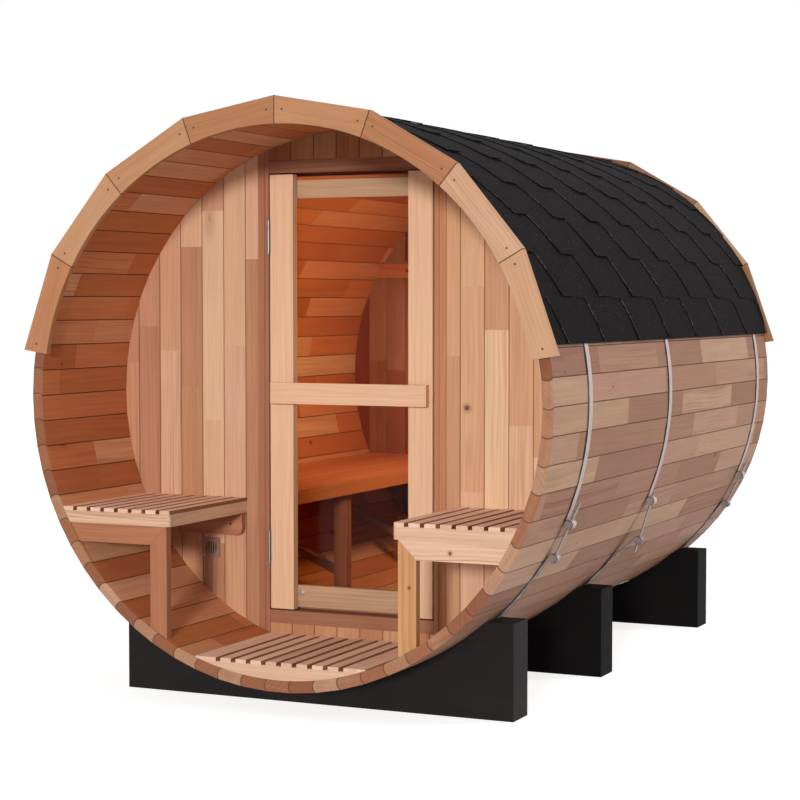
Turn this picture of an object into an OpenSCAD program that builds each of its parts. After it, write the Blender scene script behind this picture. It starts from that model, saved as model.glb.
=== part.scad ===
// Barrel sauna with an open porch, a glazed door, two porch seats and three cradles.
// Millimetres. X to the right seen from the porch, Y along the barrel from porch to back, Z up.
// The origin is on the ground under the middle of the barrel.

/* [Barrel] */
// Diameter over the flat outer faces of the staves
barrel_d = 1800; // [1700:10:1900]
// Length of the staves
barrel_len = 2440; // [2350:10:2700]
// Thickness of the staves
stave_t = 36; // [30:1:42]
// Number of staves round the barrel
stave_n = 66; // [60:2:72]
// Height that the bead of a stave stands out of its side
bead_h = 8; // [5:0.5:9]
// Gap between one stave and the next
stave_gap = 0.3; // [0.2:0.05:0.5]
// Bevel along the four edges of a stave
stave_bevel = 1.7; // [1:0.1:2.5]
// Depth of the grooves that hold the end walls
croze_d = 10; // [6:1:14]
// Angle from the lowest point of the barrel to the edge of its floor staves
floor_half_angle = 45; // [35:1:50]

/* [End walls] */
// Depth of the open porch, from the ends of the staves to the front wall
porch_depth = 505; // [460:5:560]
// Depth of the back end, from the ends of the staves to the back wall
back_recess = 83; // [50:1:120]
// Thickness of the end walls
wall_t = 36; // [30:1:40]
// Width of a wall board
board_w = 84; // [70:1:100]
// Width of the narrow board beside each jamb
narrow_board_w = 50; // [30:1:60]
// Depth of the bevels that make a V at each joint
board_bevel = 3; // [1:0.5:4]
// Depth of the tongues on the boards
tongue_d = 8; // [5:1:10]
// Height of the batten across the inside of the back wall
batten_h = 60; // [40:1:80]
// Thickness of that batten
batten_t = 20; // [15:1:30]
// Height of the batten's middle above the barrel's axis
batten_z = 435; // [300:5:480]

/* [Door] */
// Width of the opening between the jambs
doorway_w = 605; // [560:5:640]
// Distance from the top and the bottom of the leaf to the inner faces of the staves
leaf_margin = 137.5; // [120:0.5:160]
// Gap over, under and on the hinge side of the leaf
leaf_gap = 5; // [5:0.5:6]
// Gap on the closing side of the leaf
latch_gap = 6.5; // [6:0.5:9]
// Width of the front stiles
stile_w = 86; // [70:1:95]
// Thickness of the front stiles
stile_t = 30; // [24:1:34]
// Thickness of the glass
glass_t = 8; // [6:1:10]
// Thickness of the frame behind the glass
back_frame_t = 22; // [18:1:28]
// Width of the upright bars of the frame behind the glass
back_stile_w = 50; // [40:1:55]
// Height of its top and bottom rails
back_rail_h = 72; // [60:1:80]
// Distance by which that frame stands in from the edge of the leaf
rebate = 12; // [12:1:14]
// Width of the jambs seen from the front
jamb_w = 40; // [34:1:48]
// Height of the head and of the sill
head_h = 44; // [36:1:50]
// Thickness of the stop behind the leaf
stop_t = 20; // [14:1:26]
// Width of the stop
stop_w = 12; // [10:1:15]
// Height of the bar across the door
bar_h = 70; // [60:1:80]
// Thickness of that bar
bar_t = 25; // [20:1:30]
// Distance from the end of the bar to the edge of the leaf
bar_inset = 12; // [10:1:20]

/* [Hinges] */
// Length of a hinge
hinge_len = 110; // [90:5:130]
// Distance from the top or the bottom of the leaf to the middle of the nearest hinge
hinge_inset = 206.5; // [150:0.5:300]
// Radius of the knuckles
knuckle_r = 5.5; // [5:0.1:6]
// Radius of the pin
pin_r = 2.6; // [2:0.1:3]
// Clearance of the pin in the knuckles
pin_clearance = 0.1; // [0.05:0.01:0.2]
// Clearance between a knuckle and the next
knuckle_gap = 0.5; // [0.3:0.1:1]
// Thickness of a hinge plate
plate_t = 2; // [1.5:0.1:2.2]
// Width of a hinge plate
plate_w = 26; // [18:1:28]
// Distance of the knuckles from the front of the wall
knuckle_stand = 1; // [0.5:0.1:2]
// Length of pin beyond the knuckles at each end
pin_over = 2; // [1:0.5:3]

/* [Fascia] */
// Angle that one fascia board covers
fascia_step = 20.2; // [19:0.1:21]
// Number of fascia boards at each end
fascia_n = 8; // [8:2:8]
// Distance that the corners of the fascia stand out beyond the staves
fascia_lip = 31; // [29:1:60]
// Distance that the fascia reaches in over the ends of the staves
fascia_cover = 55; // [40:1:80]
// Thickness of the fascia
fascia_t = 20; // [15:1:25]

/* [Roof] */
// Angle from the top of the roof to its lower edge
roof_half_angle = 78.6; // [76:0.1:80]
// Height of a shingle course that shows
exposure = 141; // [120:1:160]
// Width of the cap along the ridge
ridge_cap_w = 216; // [180:2:260]
// Thickness of the roof at the upper edge of a course
course_top_t = 3; // [2:0.5:4]
// Thickness of the roof at the lower edge of a course
course_edge_t = 6.5; // [5:0.5:9]

/* [Hoops] */
// Width of the steel strap
hoop_w = 32; // [24:1:40]
// Thickness of the steel strap
hoop_t = 1.5; // [1:0.1:2]
// Clearance of the strap from the edges of the staves
hoop_clearance = 0.7; // [0.1:0.05:0.9]
// Angle of the upper round nuts below the level of the axis
upper_nut_angle = 24; // [20:0.5:30]
// Distance between the two nuts of the front hoop
front_nut_spacing = 118; // [100:1:170]
// Distance between the two nuts of the middle hoop
middle_nut_spacing = 144; // [100:1:170]
// Distance between the two nuts of the rear hoop
rear_nut_spacing = 130; // [100:1:170]
// Length of the front strap that runs straight from the staves up to its lower nut
front_strap_straight = 90; // [60:1:240]
// Length of the middle strap that runs straight from the staves up to its lower nut
middle_strap_straight = 220; // [60:1:240]
// Length of the rear strap that runs straight from the staves up to its lower nut
rear_strap_straight = 90; // [60:1:240]
// Radius of a round nut
nut_r = 13; // [10:0.5:15]
// Length of a round nut
nut_len = 46; // [40:1:60]
// Radius of the threaded rods
rod_r = 4; // [3:0.5:5]
// Length of a threaded rod
rod_len = 214; // [212:1:260]
// Length of the front rod above its upper nut
front_rod_over = 62; // [5:1:62]
// Length of the middle rod above its upper nut
middle_rod_over = 12; // [5:1:40]
// Length of the rear rod above its upper nut
rear_rod_over = 48; // [5:1:50]
// Clearance of the rod in the nuts
rod_clearance = 0.2; // [0.1:0.05:0.3]

/* [Cradles] */
// Distance of the front cradle's middle from the front ends of the staves
front_cradle_y = 290; // [200:1:400]
// Distance of the middle cradle's middle from the front ends of the staves
middle_cradle_y = 1107; // [900:1:1500]
// Distance of the rear cradle's middle from the back ends of the staves
rear_cradle_inset = 170; // [150:1:300]
// Thickness of a cradle under the lowest point of the barrel
saddle_h = 74.5; // [60:0.5:100]
// Length of a cradle across the barrel
cradle_len = 1374; // [1340:2:1420]
// Height of a cradle at its ends
cradle_h = 302; // [290:1:330]
// Thickness of a cradle
cradle_t = 119; // [100:1:140]
// Distance that the front strap runs behind its cradle's middle
front_strap_offset = 26; // [0:1:40]
// Distance that the middle strap runs behind its cradle's middle
middle_strap_offset = 23; // [0:1:40]
// Distance that the rear strap runs behind its cradle's middle
rear_strap_offset = 6; // [0:1:40]

/* [Porch] */
// Depth of the seats' upper faces below the axis
seat_drop = 356; // [330:1:400]
// Distance that the seats reach in from the staves, at the level of the axis
seat_depth = 476; // [454:1:494]
// Width of a slat
slat_w = 37; // [30:1:40]
// Gap between slats of a seat
seat_slat_gap = 14.6; // [10:0.1:18]
// Number of slats of a seat
seat_slat_n = 8; // [6:1:9]
// Thickness of a slat
slat_t = 22; // [18:1:24]
// Thickness of the lapped end of a slat
lap_t = 12; // [9:1:14]
// Height of the seat apron
apron_h = 39; // [35:1:50]
// Thickness of the seat apron
apron_t = 20; // [16:1:24]
// Width of the seat rail and leg
leg_w = 60; // [50:1:70]
// Thickness of the seat rail and leg
leg_t = 28; // [24:1:34]
// Distance of the leg from the inner face of the apron
leg_inset = 15; // [10:1:22]
// Distance of the leg and the rail behind the front of the apron
leg_setback = 5; // [3:1:10]
// Radius of the corner of a seat, beside the door
seat_corner_r = 10; // [4:1:16]
// Height of the cleat on the wall under a seat
cleat_h = 105; // [80:1:110]
// Thickness of that cleat
cleat_t = 25; // [18:1:30]
// Length of that cleat
cleat_len = 250; // [200:5:300]
// Radius of the cleat's lower corner
cleat_corner_r = 22; // [10:1:40]
// Distance of the cleat's end from the edge of the seat
cleat_inset = 7; // [2:1:15]
// Number of narrow slats in the deck
deck_slat_n = 8; // [6:2:8]
// Gap between slats of the deck
deck_slat_gap = 16.6; // [12:0.1:18]
// Height of the deck above the lowest inner face of the staves
deck_rise = 56; // [50:1:70]
// Thickness of the boards that carry the deck
bearer_t = 22; // [18:1:28]

/* [Bench] */
// Distance from the middle of the room to the front of the bench
bench_front_x = 255; // [230:5:300]
// Depth of the bench top below the axis
bench_drop = 340; // [300:5:380]
// Thickness of the bench top
bench_top_t = 20; // [15:1:26]
// Height of the bench front board
bench_apron_h = 46; // [40:1:60]
// Thickness of the bench front board
bench_apron_t = 26; // [20:1:32]
// Width of a bench leg
bench_leg_w = 52; // [40:1:90]
// Thickness of a bench leg
bench_leg_t = 36; // [28:1:40]
// Distance of each bench leg from the end of the bench
bench_leg_inset = 463; // [300:1:500]
// Height of the rail under the bench
bench_rail_h = 60; // [50:1:90]
// Height of the strut from a leg to the wall
strut_h = 28; // [20:1:40]
// Slope of that strut
strut_slope = 24; // [10:1:30]
// Depth of the strut's middle below the bench top, at the leg
strut_drop = 327; // [250:1:350]

/* [Vent] */
// Width and height of the vent plate
vent_w = 66; // [56:1:72]
// Thickness of the vent plate
vent_t = 6; // [4:0.5:8]
// Distance from the vent's middle to the inner faces of the staves
vent_inset = 116; // [90:1:140]
// Direction of the vent from the axis, below the level
vent_angle = 45.3; // [40:0.1:50]
// Diameter of the round field that the slots are in
vent_field_w = 50; // [40:1:56]
// Depth of that field
vent_field_d = 1.5; // [0.5:0.5:3]
// Number of slots in the vent
vent_slot_n = 5; // [3:2:7]

/* [Hidden] */

fit = 0.3;
far = 4000;
past = 1;
$fn = 96;

cedar = "#c98f62";
pale_cedar = "#dcb084";
red_cedar = "#a9684a";
black_stain = "#1e1c1b";
shingle_black = "#2b2a2c";
strap_steel = "#b9b2ad";
zinc = "#c9ccd0";
clear_glass = "#cfc4b8";

half_len = barrel_len / 2;
outer_r = barrel_d / 2;
inner_r = outer_r - stave_t;
stave_half = 180 / stave_n;
corner_r = outer_r / cos(stave_half);
inside_r = inner_r - fit;
wall_r = inner_r + croze_d - fit;
strap_r = corner_r + hoop_clearance;
roof_r = strap_r + hoop_t + fit;
saddle_r = strap_r + hoop_t + fit;
axis_z = saddle_r + saddle_h;

front_y = -half_len;
leaf_h = 2 * (inner_r - leaf_margin);
hinge_z = leaf_h / 2 - hinge_inset;
fascia_r = outer_r + fascia_lip;
fascia_inner_r = outer_r - fascia_cover;
wall_y = front_y + porch_depth;
wall_back_y = wall_y + wall_t;
back_wall_y = half_len - back_recess - wall_t;

doorway_half = doorway_w / 2;
jamb_x = doorway_half + jamb_w;
leaf_left = -doorway_half + leaf_gap;
leaf_right = doorway_half - latch_gap;
leaf_low = axis_z - leaf_h / 2;
doorway_half_h = leaf_h / 2 + leaf_gap;
glass_y = wall_y + stile_t;
back_frame_y = glass_y + glass_t + fit;
leaf_back_y = back_frame_y + back_frame_t;
stop_y = leaf_back_y + leaf_gap;
jamb_depth = stop_y + stop_t - wall_y;

hinge_x = -doorway_half + leaf_gap / 2;
hinge_y = wall_y - knuckle_r - knuckle_stand;

seat_z = axis_z - seat_drop;
apron_top = seat_z - lap_t;
apron_low = apron_top - apron_h;
seat_pitch = slat_w + seat_slat_gap;
seat_inner_x = inner_r - seat_depth;
deck_top = axis_z - inner_r + deck_rise;
deck_pitch = slat_w + deck_slat_gap;

rear_cradle_y = barrel_len - rear_cradle_inset;

// Cuts reach past what they cut, and the boxes of one solid reach into each other, by the length past.

// A flat outline drawn across the barrel, x to the right and y up from the axis,
// made solid from y0 to y1 along the barrel
module across(y0, y1) {
    translate([0, y1, axis_z]) rotate([90, 0, 0]) linear_extrude(y1 - y0) children();
}

// A round bar along the barrel, centred on the axis
module round_core(r, y0, y1) {
    translate([0, y1, axis_z]) rotate([90, 0, 0]) cylinder(h = y1 - y0, r = r, $fn = 360);
}

// A box given by its low and high corners
module box(low, high) {
    translate(low) cube(high - low);
}

// Staves: a flat-faced section with a bead along one side and a cove along the other
bead_chord = stave_t / 2 / cos(stave_half);
bead_r = (bead_chord * bead_chord + bead_h * bead_h) / (2 * bead_h);

module bead_circle(r) {
    rotate(-stave_half) translate([(outer_r - stave_t / 2) / cos(stave_half), bead_r - bead_h])
        circle(r = r);
}

module stave_section() {
    side = stave_gap / 2;
    difference() {
        union() {
            polygon([
                [inner_r, -inner_r * tan(stave_half)], [outer_r, -outer_r * tan(stave_half)],
                [outer_r, outer_r * tan(stave_half) - side], [inner_r, inner_r * tan(stave_half) - side]
            ]);
            intersection() {
                bead_circle(bead_r);
                rotate(-stave_half) translate([inner_r, -2 * bead_h]) square([2 * stave_t, 2 * bead_h]);
            }
        }
        rotate(2 * stave_half) bead_circle(bead_r + stave_gap);
        for (r = [inner_r, outer_r], side = [-1, 1])
            translate([r, side * r * tan(stave_half)]) rotate(45)
                square(stave_bevel * sqrt(2), center = true);
    }
}

module stave(angle) {
    difference() {
        across(-half_len, half_len) rotate(angle) stave_section();
        for (y = [wall_y, back_wall_y])
            across(y - fit, y + wall_t + fit) rotate(angle)
                translate([inner_r - past, -far / 4]) square([croze_d + past, far / 2]);
    }
}

function stave_angle(i) = (i + 0.5) * 2 * stave_half;

module staves(from, to) {
    for (i = [0:stave_n - 1])
        if (stave_angle(i) > from && stave_angle(i) < to) stave(stave_angle(i));
}

module floor_staves() {
    color(cedar) staves(270 - floor_half_angle, 270 + floor_half_angle);
}

module left_wall_staves() {
    color(cedar) staves(90 + roof_half_angle, 270 - floor_half_angle);
}

module right_wall_staves() {
    color(cedar) {
        staves(270 + floor_half_angle, 360);
        staves(0, 90 - roof_half_angle);
    }
}

module roof_staves() {
    color(cedar) staves(90 - roof_half_angle, 90 + roof_half_angle);
}

// Roof: courses of shingles that step out at the lower edge of each course, and a cap along the ridge.
// Both faces are cut in the same flats. Lengths are measured round the roof from its lower edge
roof_arc = roof_r * roof_half_angle * PI / 180;
course_n = floor((roof_arc - ridge_cap_w / 2) / exposure);
course_cuts = 4;
roof_inner_r = roof_r / cos(exposure / course_cuts / roof_r * 90 / PI);

function course_low(i) = i == 0 ? 0 : roof_arc - ridge_cap_w / 2 - (course_n - i) * exposure;
function course_high(i) = i < course_n ? course_low(i + 1) : roof_arc;
function course_arc(i, k) = course_low(i) + (course_high(i) - course_low(i)) * k / course_cuts;
function roof_point(r, arc) = r * [sin(roof_half_angle - arc / roof_r * 180 / PI),
    cos(roof_half_angle - arc / roof_r * 180 / PI)];

function course_point(i, k) = let (
    arc = course_arc(i, k),
    t = course_edge_t + (course_top_t - course_edge_t) * (arc - course_low(i)) / exposure
) roof_point(roof_r + t, arc);

module roof_side() {
    polygon(concat(
        [for (i = [0:course_n]) for (k = [0:course_cuts]) course_point(i, k)],
        [for (i = [course_n:-1:0]) for (k = [course_cuts:-1:0]) if (k > 0 || i == 0)
            roof_point(roof_inner_r, course_arc(i, k))]
    ));
}

module roof_shingles() {
    color(shingle_black) across(-half_len, half_len) {
        roof_side();
        mirror([1, 0]) roof_side();
    }
}

// Fascia: straight boards with mitred ends, cut to a smooth arc along the inner edge
module fascia_board(i, y0, y1) {
    a0 = 90 + (i - fascia_n / 2) * fascia_step;
    a1 = a0 + fascia_step;
    joint = fit / 2 / fascia_inner_r * 180 / PI;
    across(y0, y1) difference() {
        polygon([
            [0, 0], fascia_r * [cos(a0 + joint), sin(a0 + joint)],
            fascia_r * [cos(a1 - joint), sin(a1 - joint)]
        ]);
        circle(r = fascia_inner_r, $fn = 360);
    }
}

module front_fascia() {
    color(pale_cedar) for (i = [0:fascia_n - 1]) fascia_board(i, front_y - fascia_t, front_y);
}

module back_fascia() {
    color(pale_cedar) for (i = [0:fascia_n - 1]) fascia_board(i, half_len, half_len + fascia_t);
}

// Wall boards: upright, tongued and grooved, with bevelled edges that make a V at each joint
module board_section(w) {
    b = board_bevel;
    mid = wall_t / 2;
    tongue = wall_t / 6;
    polygon([
        [b, 0], [w - fit - b, 0], [w - fit, b], [w - fit, mid - tongue], [w - fit + tongue_d, mid - tongue],
        [w - fit + tongue_d, mid + tongue], [w - fit, mid + tongue], [w - fit, wall_t - b],
        [w - fit - b, wall_t], [b, wall_t], [0, wall_t - b], [0, mid + tongue + fit],
        [tongue_d + fit, mid + tongue + fit], [tongue_d + fit, mid - tongue - fit], [0, mid - tongue - fit],
        [0, b]
    ]);
}

// Boards side by side from x0 to x1, the first one narrower
module board_row(x0, x1, first_w) {
    n = ceil((x1 - x0 - first_w) / board_w);
    intersection() {
        union() {
            translate([x0, 0]) board_section(first_w);
            for (i = [0:n - 1]) translate([x0 + first_w + i * board_w, 0]) board_section(board_w);
        }
        translate([x0, -past]) square([x1 - x0, wall_t + 2 * past]);
    }
}

module wall_boards(y, z0, z1, x0, x1, first_w) {
    intersection() {
        translate([0, y, z0]) linear_extrude(z1 - z0) board_row(x0, x1, first_w);
        round_core(wall_r, y - past, y + wall_t + past);
    }
}

wall_low = axis_z - outer_r;
wall_high = axis_z + outer_r;

module front_wall_right() {
    color(cedar) wall_boards(wall_y, wall_low, wall_high, jamb_x, outer_r, narrow_board_w);
}

module front_wall_left() {
    color(cedar) mirror([1, 0, 0])
        wall_boards(wall_y, wall_low, wall_high, jamb_x, outer_r, narrow_board_w);
}

module front_wall_head() {
    color(cedar) wall_boards(wall_y, axis_z + doorway_half_h + head_h, wall_high,
        -doorway_half, doorway_half, board_w);
}

module front_wall_foot() {
    color(cedar) wall_boards(wall_y, wall_low, axis_z - doorway_half_h - head_h,
        -doorway_half, doorway_half, board_w);
}

module back_wall() {
    color(cedar) wall_boards(back_wall_y, wall_low, wall_high, -outer_r, outer_r,
        outer_r % board_w + board_w / 2);
}

module back_wall_batten() {
    color(cedar) intersection() {
        box([-outer_r, back_wall_y - batten_t, axis_z + batten_z - batten_h / 2],
            [outer_r, back_wall_y, axis_z + batten_z + batten_h / 2]);
        round_core(inside_r, back_wall_y - batten_t - past, back_wall_y + past);
    }
}

// Door frame: jambs up to the staves, with a head and a sill between them and a stop all round
module jamb() {
    intersection() {
        union() {
            box([doorway_half, wall_y, wall_low], [jamb_x, wall_y + jamb_depth, wall_high]);
            box([doorway_half - stop_w, stop_y, axis_z - doorway_half_h],
                [doorway_half + past, stop_y + stop_t, axis_z + doorway_half_h]);
        }
        round_core(inside_r, wall_y - past, wall_y + jamb_depth + past);
    }
}

module door_jamb_right() {
    color(red_cedar) jamb();
}

module door_jamb_left() {
    color(red_cedar) mirror([1, 0, 0]) jamb();
}

// A rail between the jambs; up is 1 for the head and -1 for the sill
module frame_rail(up) {
    x = doorway_half - fit;
    translate([0, 0, axis_z]) mirror([0, 0, up > 0 ? 0 : 1]) {
        box([-x, wall_y, doorway_half_h], [x, wall_y + jamb_depth, doorway_half_h + head_h]);
        box([-x + stop_w, stop_y, doorway_half_h - stop_w],
            [x - stop_w, stop_y + stop_t, doorway_half_h + past]);
    }
}

module door_head() {
    color(red_cedar) frame_rail(1);
}

module door_sill() {
    color(red_cedar) frame_rail(-1);
}

// Hinges: five knuckles on one pin, three on the jamb's half and two on the door's
knuckle_len = hinge_len / 5;

module knuckle(k, r) {
    low = k * knuckle_len + (k == 0 ? 0 : knuckle_gap / 2);
    high = (k + 1) * knuckle_len - (k == 4 ? 0 : knuckle_gap / 2);
    translate([0, 0, low - hinge_len / 2]) cylinder(h = high - low, r = r);
}

// One half of a hinge round the pin's axis; side is -1 for the jamb and 1 for the door
module hinge_half(side, ks) {
    near = hinge_plate_near();
    x0 = side > 0 ? near : -near - plate_t;
    difference() {
        union() {
            for (k = ks) {
                knuckle(k, knuckle_r);
                translate([x0, 0, k * knuckle_len - hinge_len / 2 + knuckle_gap / 2])
                    cube([plate_t, knuckle_r + knuckle_stand, knuckle_len - knuckle_gap]);
            }
            translate([x0, knuckle_r + knuckle_stand / 2, -hinge_len / 2])
                cube([plate_t, plate_w, hinge_len]);
        }
        translate([0, 0, -hinge_len]) cylinder(h = 2 * hinge_len, r = pin_r + pin_clearance);
    }
}

function hinge_plate_near() = leaf_gap / 2 - plate_t;

module at_hinges() {
    for (z = [-hinge_z, hinge_z]) translate([hinge_x, hinge_y, axis_z + z]) children();
}

module hinge_jamb_halves() {
    color(zinc) at_hinges() {
        hinge_half(-1, [0, 2, 4]);
        translate([0, 0, -hinge_len / 2 - pin_over]) cylinder(h = hinge_len + 2 * pin_over, r = pin_r);
    }
}

module hinge_door_halves() {
    color(zinc) at_hinges() hinge_half(1, [1, 3]);
}

// Door leaf: two front stiles, the glass behind them, a frame behind the glass and a bar across
module front_stile(x) {
    box([x, wall_y, leaf_low], [x + stile_w, glass_y, leaf_low + leaf_h]);
}

module door_stile_left() {
    color(pale_cedar) front_stile(leaf_left);
}

module door_stile_right() {
    color(pale_cedar) front_stile(leaf_right - stile_w);
}

module door_glass() {
    color(clear_glass, 0.35) box([leaf_left + rebate, glass_y + fit / 2, leaf_low + rebate / 2],
        [leaf_right - rebate, glass_y + glass_t + fit / 2, leaf_low + leaf_h - rebate / 2]);
}

module door_back_frame() {
    x0 = leaf_left + rebate;
    x1 = leaf_right - rebate;
    z0 = leaf_low + rebate / 2;
    z1 = leaf_low + leaf_h - rebate / 2;
    y0 = back_frame_y;
    y1 = leaf_back_y;
    color(pale_cedar) {
        box([x0, y0, z0], [x0 + back_stile_w, y1, z1]);
        box([x1 - back_stile_w, y0, z0], [x1, y1, z1]);
        for (z = [z0, z1 - back_rail_h])
            box([x0 + back_stile_w + fit, y0, z], [x1 - back_stile_w - fit, y1, z + back_rail_h]);
    }
}

module door_bar() {
    color(pale_cedar) box([leaf_left + bar_inset, wall_y - bar_t, axis_z - bar_h / 2],
        [leaf_right - bar_inset, wall_y, axis_z + bar_h / 2]);
}

// Hoops: a strap round the staves whose ends are folded round two nuts, drawn together by a rod.
// For each hoop: its distance from the front, the spacing of its nuts, the straight length of its lower
// end and the length of rod above its upper nut
front_spec = [front_cradle_y + front_strap_offset, front_nut_spacing, front_strap_straight, front_rod_over];
middle_spec = [middle_cradle_y + middle_strap_offset, middle_nut_spacing, middle_strap_straight,
    middle_rod_over];
rear_spec = [rear_cradle_y + rear_strap_offset, rear_nut_spacing, rear_strap_straight, rear_rod_over];

fold_r = nut_r + rod_clearance;
fold_lap = 2;
strip_lap = 10;
strip_set = 0.1;
strap_hole_clearance = 1.2;
nut_dist = strap_r + hoop_t + fold_r;
ring_end = upper_nut_angle - fold_lap / strap_r * 180 / PI;

// A point at a distance from the axis and an angle below the level
function below(r, angle) = r * [cos(angle), -sin(angle)];
function low_nut_dist(spec) = sqrt(nut_dist * nut_dist + spec[2] * spec[2]);
function low_nut_angle(spec) = let (d = low_nut_dist(spec))
    upper_nut_angle + acos((nut_dist * nut_dist + d * d - spec[1] * spec[1]) / (2 * nut_dist * d));
function leave_angle(spec) = low_nut_angle(spec) + atan2(spec[2], nut_dist);

// The strap seen along the barrel. It stops just short of each nut's middle, inside the wall of the
// fold, and its straight end laps the round part, set in by a hair
module strap_outline(spec) {
    leave = leave_angle(spec);
    nuts = [below(nut_dist, upper_nut_angle), below(low_nut_dist(spec), low_nut_angle(spec))];
    difference() {
        union() {
            difference() {
                circle(r = strap_r + hoop_t, $fn = 360);
                circle(r = strap_r, $fn = 360);
                polygon([
                    [0, 0], below(2 * strap_r, ring_end),
                    below(2 * strap_r, leave - strip_lap / strap_r * 180 / PI)
                ]);
            }
            rotate(-leave) translate([strap_r - strip_set, -strip_lap])
                square([hoop_t, strip_lap + spec[2] - fold_lap]);
            for (nut = nuts) translate(nut) circle(r = fold_r + hoop_t);
        }
        for (nut = nuts) translate(nut) circle(r = fold_r);
    }
}

// Places a shape at the lower nut, with z along the rod towards the upper nut
module along_rod(spec) {
    low = below(low_nut_dist(spec), low_nut_angle(spec));
    rise = below(nut_dist, upper_nut_angle) - low;
    translate([low[0], front_y + spec[0], axis_z + low[1]])
        rotate([0, atan2(rise[0], rise[1]), 0]) children();
}

module hoop(spec) {
    y = front_y + spec[0];
    color(strap_steel) difference() {
        across(y - hoop_w / 2, y + hoop_w / 2) strap_outline(spec);
        along_rod(spec) for (z = [0, spec[1]])
            translate([0, 0, z - 2 * nut_r]) cylinder(h = 4 * nut_r, r = rod_r + strap_hole_clearance);
    }
}

module tensioner(spec) {
    along_rod(spec) {
        for (z = [0, spec[1]]) difference() {
            translate([0, nut_len / 2, z]) rotate([90, 0, 0]) cylinder(h = nut_len, r = nut_r);
            translate([0, 0, z - nut_r - past]) cylinder(h = 2 * (nut_r + past), r = rod_r + rod_clearance);
        }
        translate([0, 0, spec[1] + nut_r + spec[3] - rod_len]) cylinder(h = rod_len, r = rod_r);
    }
}

module front_hoop() {
    hoop(front_spec);
}

module middle_hoop() {
    hoop(middle_spec);
}

module rear_hoop() {
    hoop(rear_spec);
}

module hoop_tensioners() {
    color(zinc) for (spec = [front_spec, middle_spec, rear_spec]) tensioner(spec);
}

// Cradles: thick planks on edge, hollowed to the round of the strap under the barrel
module cradle(y) {
    y0 = front_y + y - cradle_t / 2;
    y1 = y0 + cradle_t;
    color(black_stain) difference() {
        box([-cradle_len / 2, y0, 0], [cradle_len / 2, y1, cradle_h]);
        round_core(saddle_r, y0 - past, y1 + past);
    }
}

module front_cradle() {
    cradle(front_cradle_y);
}

module middle_cradle() {
    cradle(middle_cradle_y);
}

module rear_cradle() {
    cradle(rear_cradle_y);
}

// A slat along the barrel that laps over the board at its front end, and over one at its side too
module lapped_slat(x, w, top, lap, side_lap = 0) {
    box([x, front_y, top - lap_t], [x + w, wall_y, top]);
    box([x + side_lap, front_y + lap + fit, top - slat_t], [x + w, wall_y, top - lap_t + past]);
}

// Deck: narrow slats between two wide ones that are cut to the round of the barrel
module deck_slats() {
    narrow = deck_slat_n * deck_pitch - deck_slat_gap;
    color(cedar) intersection() {
        union() {
            for (i = [0:deck_slat_n - 1])
                lapped_slat(-narrow / 2 + i * deck_pitch, slat_w, deck_top, bearer_t);
            for (s = [0, 1]) mirror([s, 0, 0])
                lapped_slat(narrow / 2 + deck_slat_gap, 2 * slat_w, deck_top, bearer_t);
        }
        round_core(inside_r, front_y - past, wall_y + past);
    }
}

module deck_bearer(y, top) {
    intersection() {
        box([-outer_r, y, wall_low], [outer_r, y + bearer_t, top]);
        round_core(inside_r, y - past, y + bearer_t + past);
    }
}

module deck_bearers() {
    color(pale_cedar) {
        deck_bearer(front_y, deck_top - lap_t);
        for (y = [front_y + porch_depth / 2, wall_y - bearer_t]) deck_bearer(y, deck_top - slat_t);
    }
}

// Porch seats, drawn on the right and mirrored to the left. This is what the rounded corner takes away
module seat_corner() {
    r = seat_corner_r;
    translate([seat_inner_x, front_y, apron_low - past]) linear_extrude(seat_z - apron_low + 2 * past)
        difference() {
            translate([-past, -past]) square(r + past);
            translate([r, r]) circle(r = r);
        }
}

module seat_slats() {
    difference() {
        intersection() {
            for (i = [0:seat_slat_n - 1]) {
                w = i == seat_slat_n - 1 ? 3 * slat_w : slat_w;
                lapped_slat(seat_inner_x + i * seat_pitch, w, seat_z, apron_t, i == 0 ? apron_t + fit : 0);
            }
            round_core(inside_r, front_y - past, wall_y + past);
        }
        seat_corner();
    }
}

module seat_apron() {
    difference() {
        intersection() {
            union() {
                box([seat_inner_x, front_y, apron_low], [outer_r, front_y + apron_t, apron_top]);
                box([seat_inner_x, front_y, apron_low], [seat_inner_x + apron_t, wall_y, apron_top]);
            }
            round_core(inside_r, front_y - past, wall_y + past);
        }
        seat_corner();
    }
}

// A leg and a rail that meet in a mitre
module seat_frame() {
    x0 = seat_inner_x + leg_inset;
    x1 = x0 + leg_w;
    y0 = front_y + leg_setback;
    top = apron_low - axis_z;
    intersection() {
        across(y0, y0 + leg_t) {
            polygon([[x0, -outer_r], [x1, -outer_r], [x1, top - leg_w - fit], [x0, top - fit]]);
            polygon([[x0 + fit, top], [outer_r, top], [outer_r, top - leg_w], [x1 + fit, top - leg_w]]);
        }
        round_core(inside_r, front_y - past, wall_y + past);
    }
}

// A cleat on the wall with its lower corner rounded, notched for the apron on the side of the door
module seat_cleat() {
    r = cleat_corner_r;
    notch_w = apron_t + fit - cleat_inset;
    notch_h = apron_h + lap_t - slat_t + fit;
    translate([seat_inner_x + cleat_inset, 0, 0]) across(wall_y - cleat_t, wall_y)
        translate([0, seat_z - slat_t - cleat_h - axis_z]) {
            translate([r, 0]) square([cleat_len - r, r + past]);
            translate([0, r]) square([cleat_len, cleat_h - notch_h - r]);
            translate([notch_w, r + past]) square([cleat_len - notch_w, cleat_h - r - past]);
            translate([r, r]) circle(r = r);
        }
}

module right_seat_slats() {
    color(cedar) seat_slats();
}

module left_seat_slats() {
    color(cedar) mirror([1, 0, 0]) seat_slats();
}

module right_seat_apron() {
    color(pale_cedar) seat_apron();
}

module left_seat_apron() {
    color(pale_cedar) mirror([1, 0, 0]) seat_apron();
}

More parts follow.
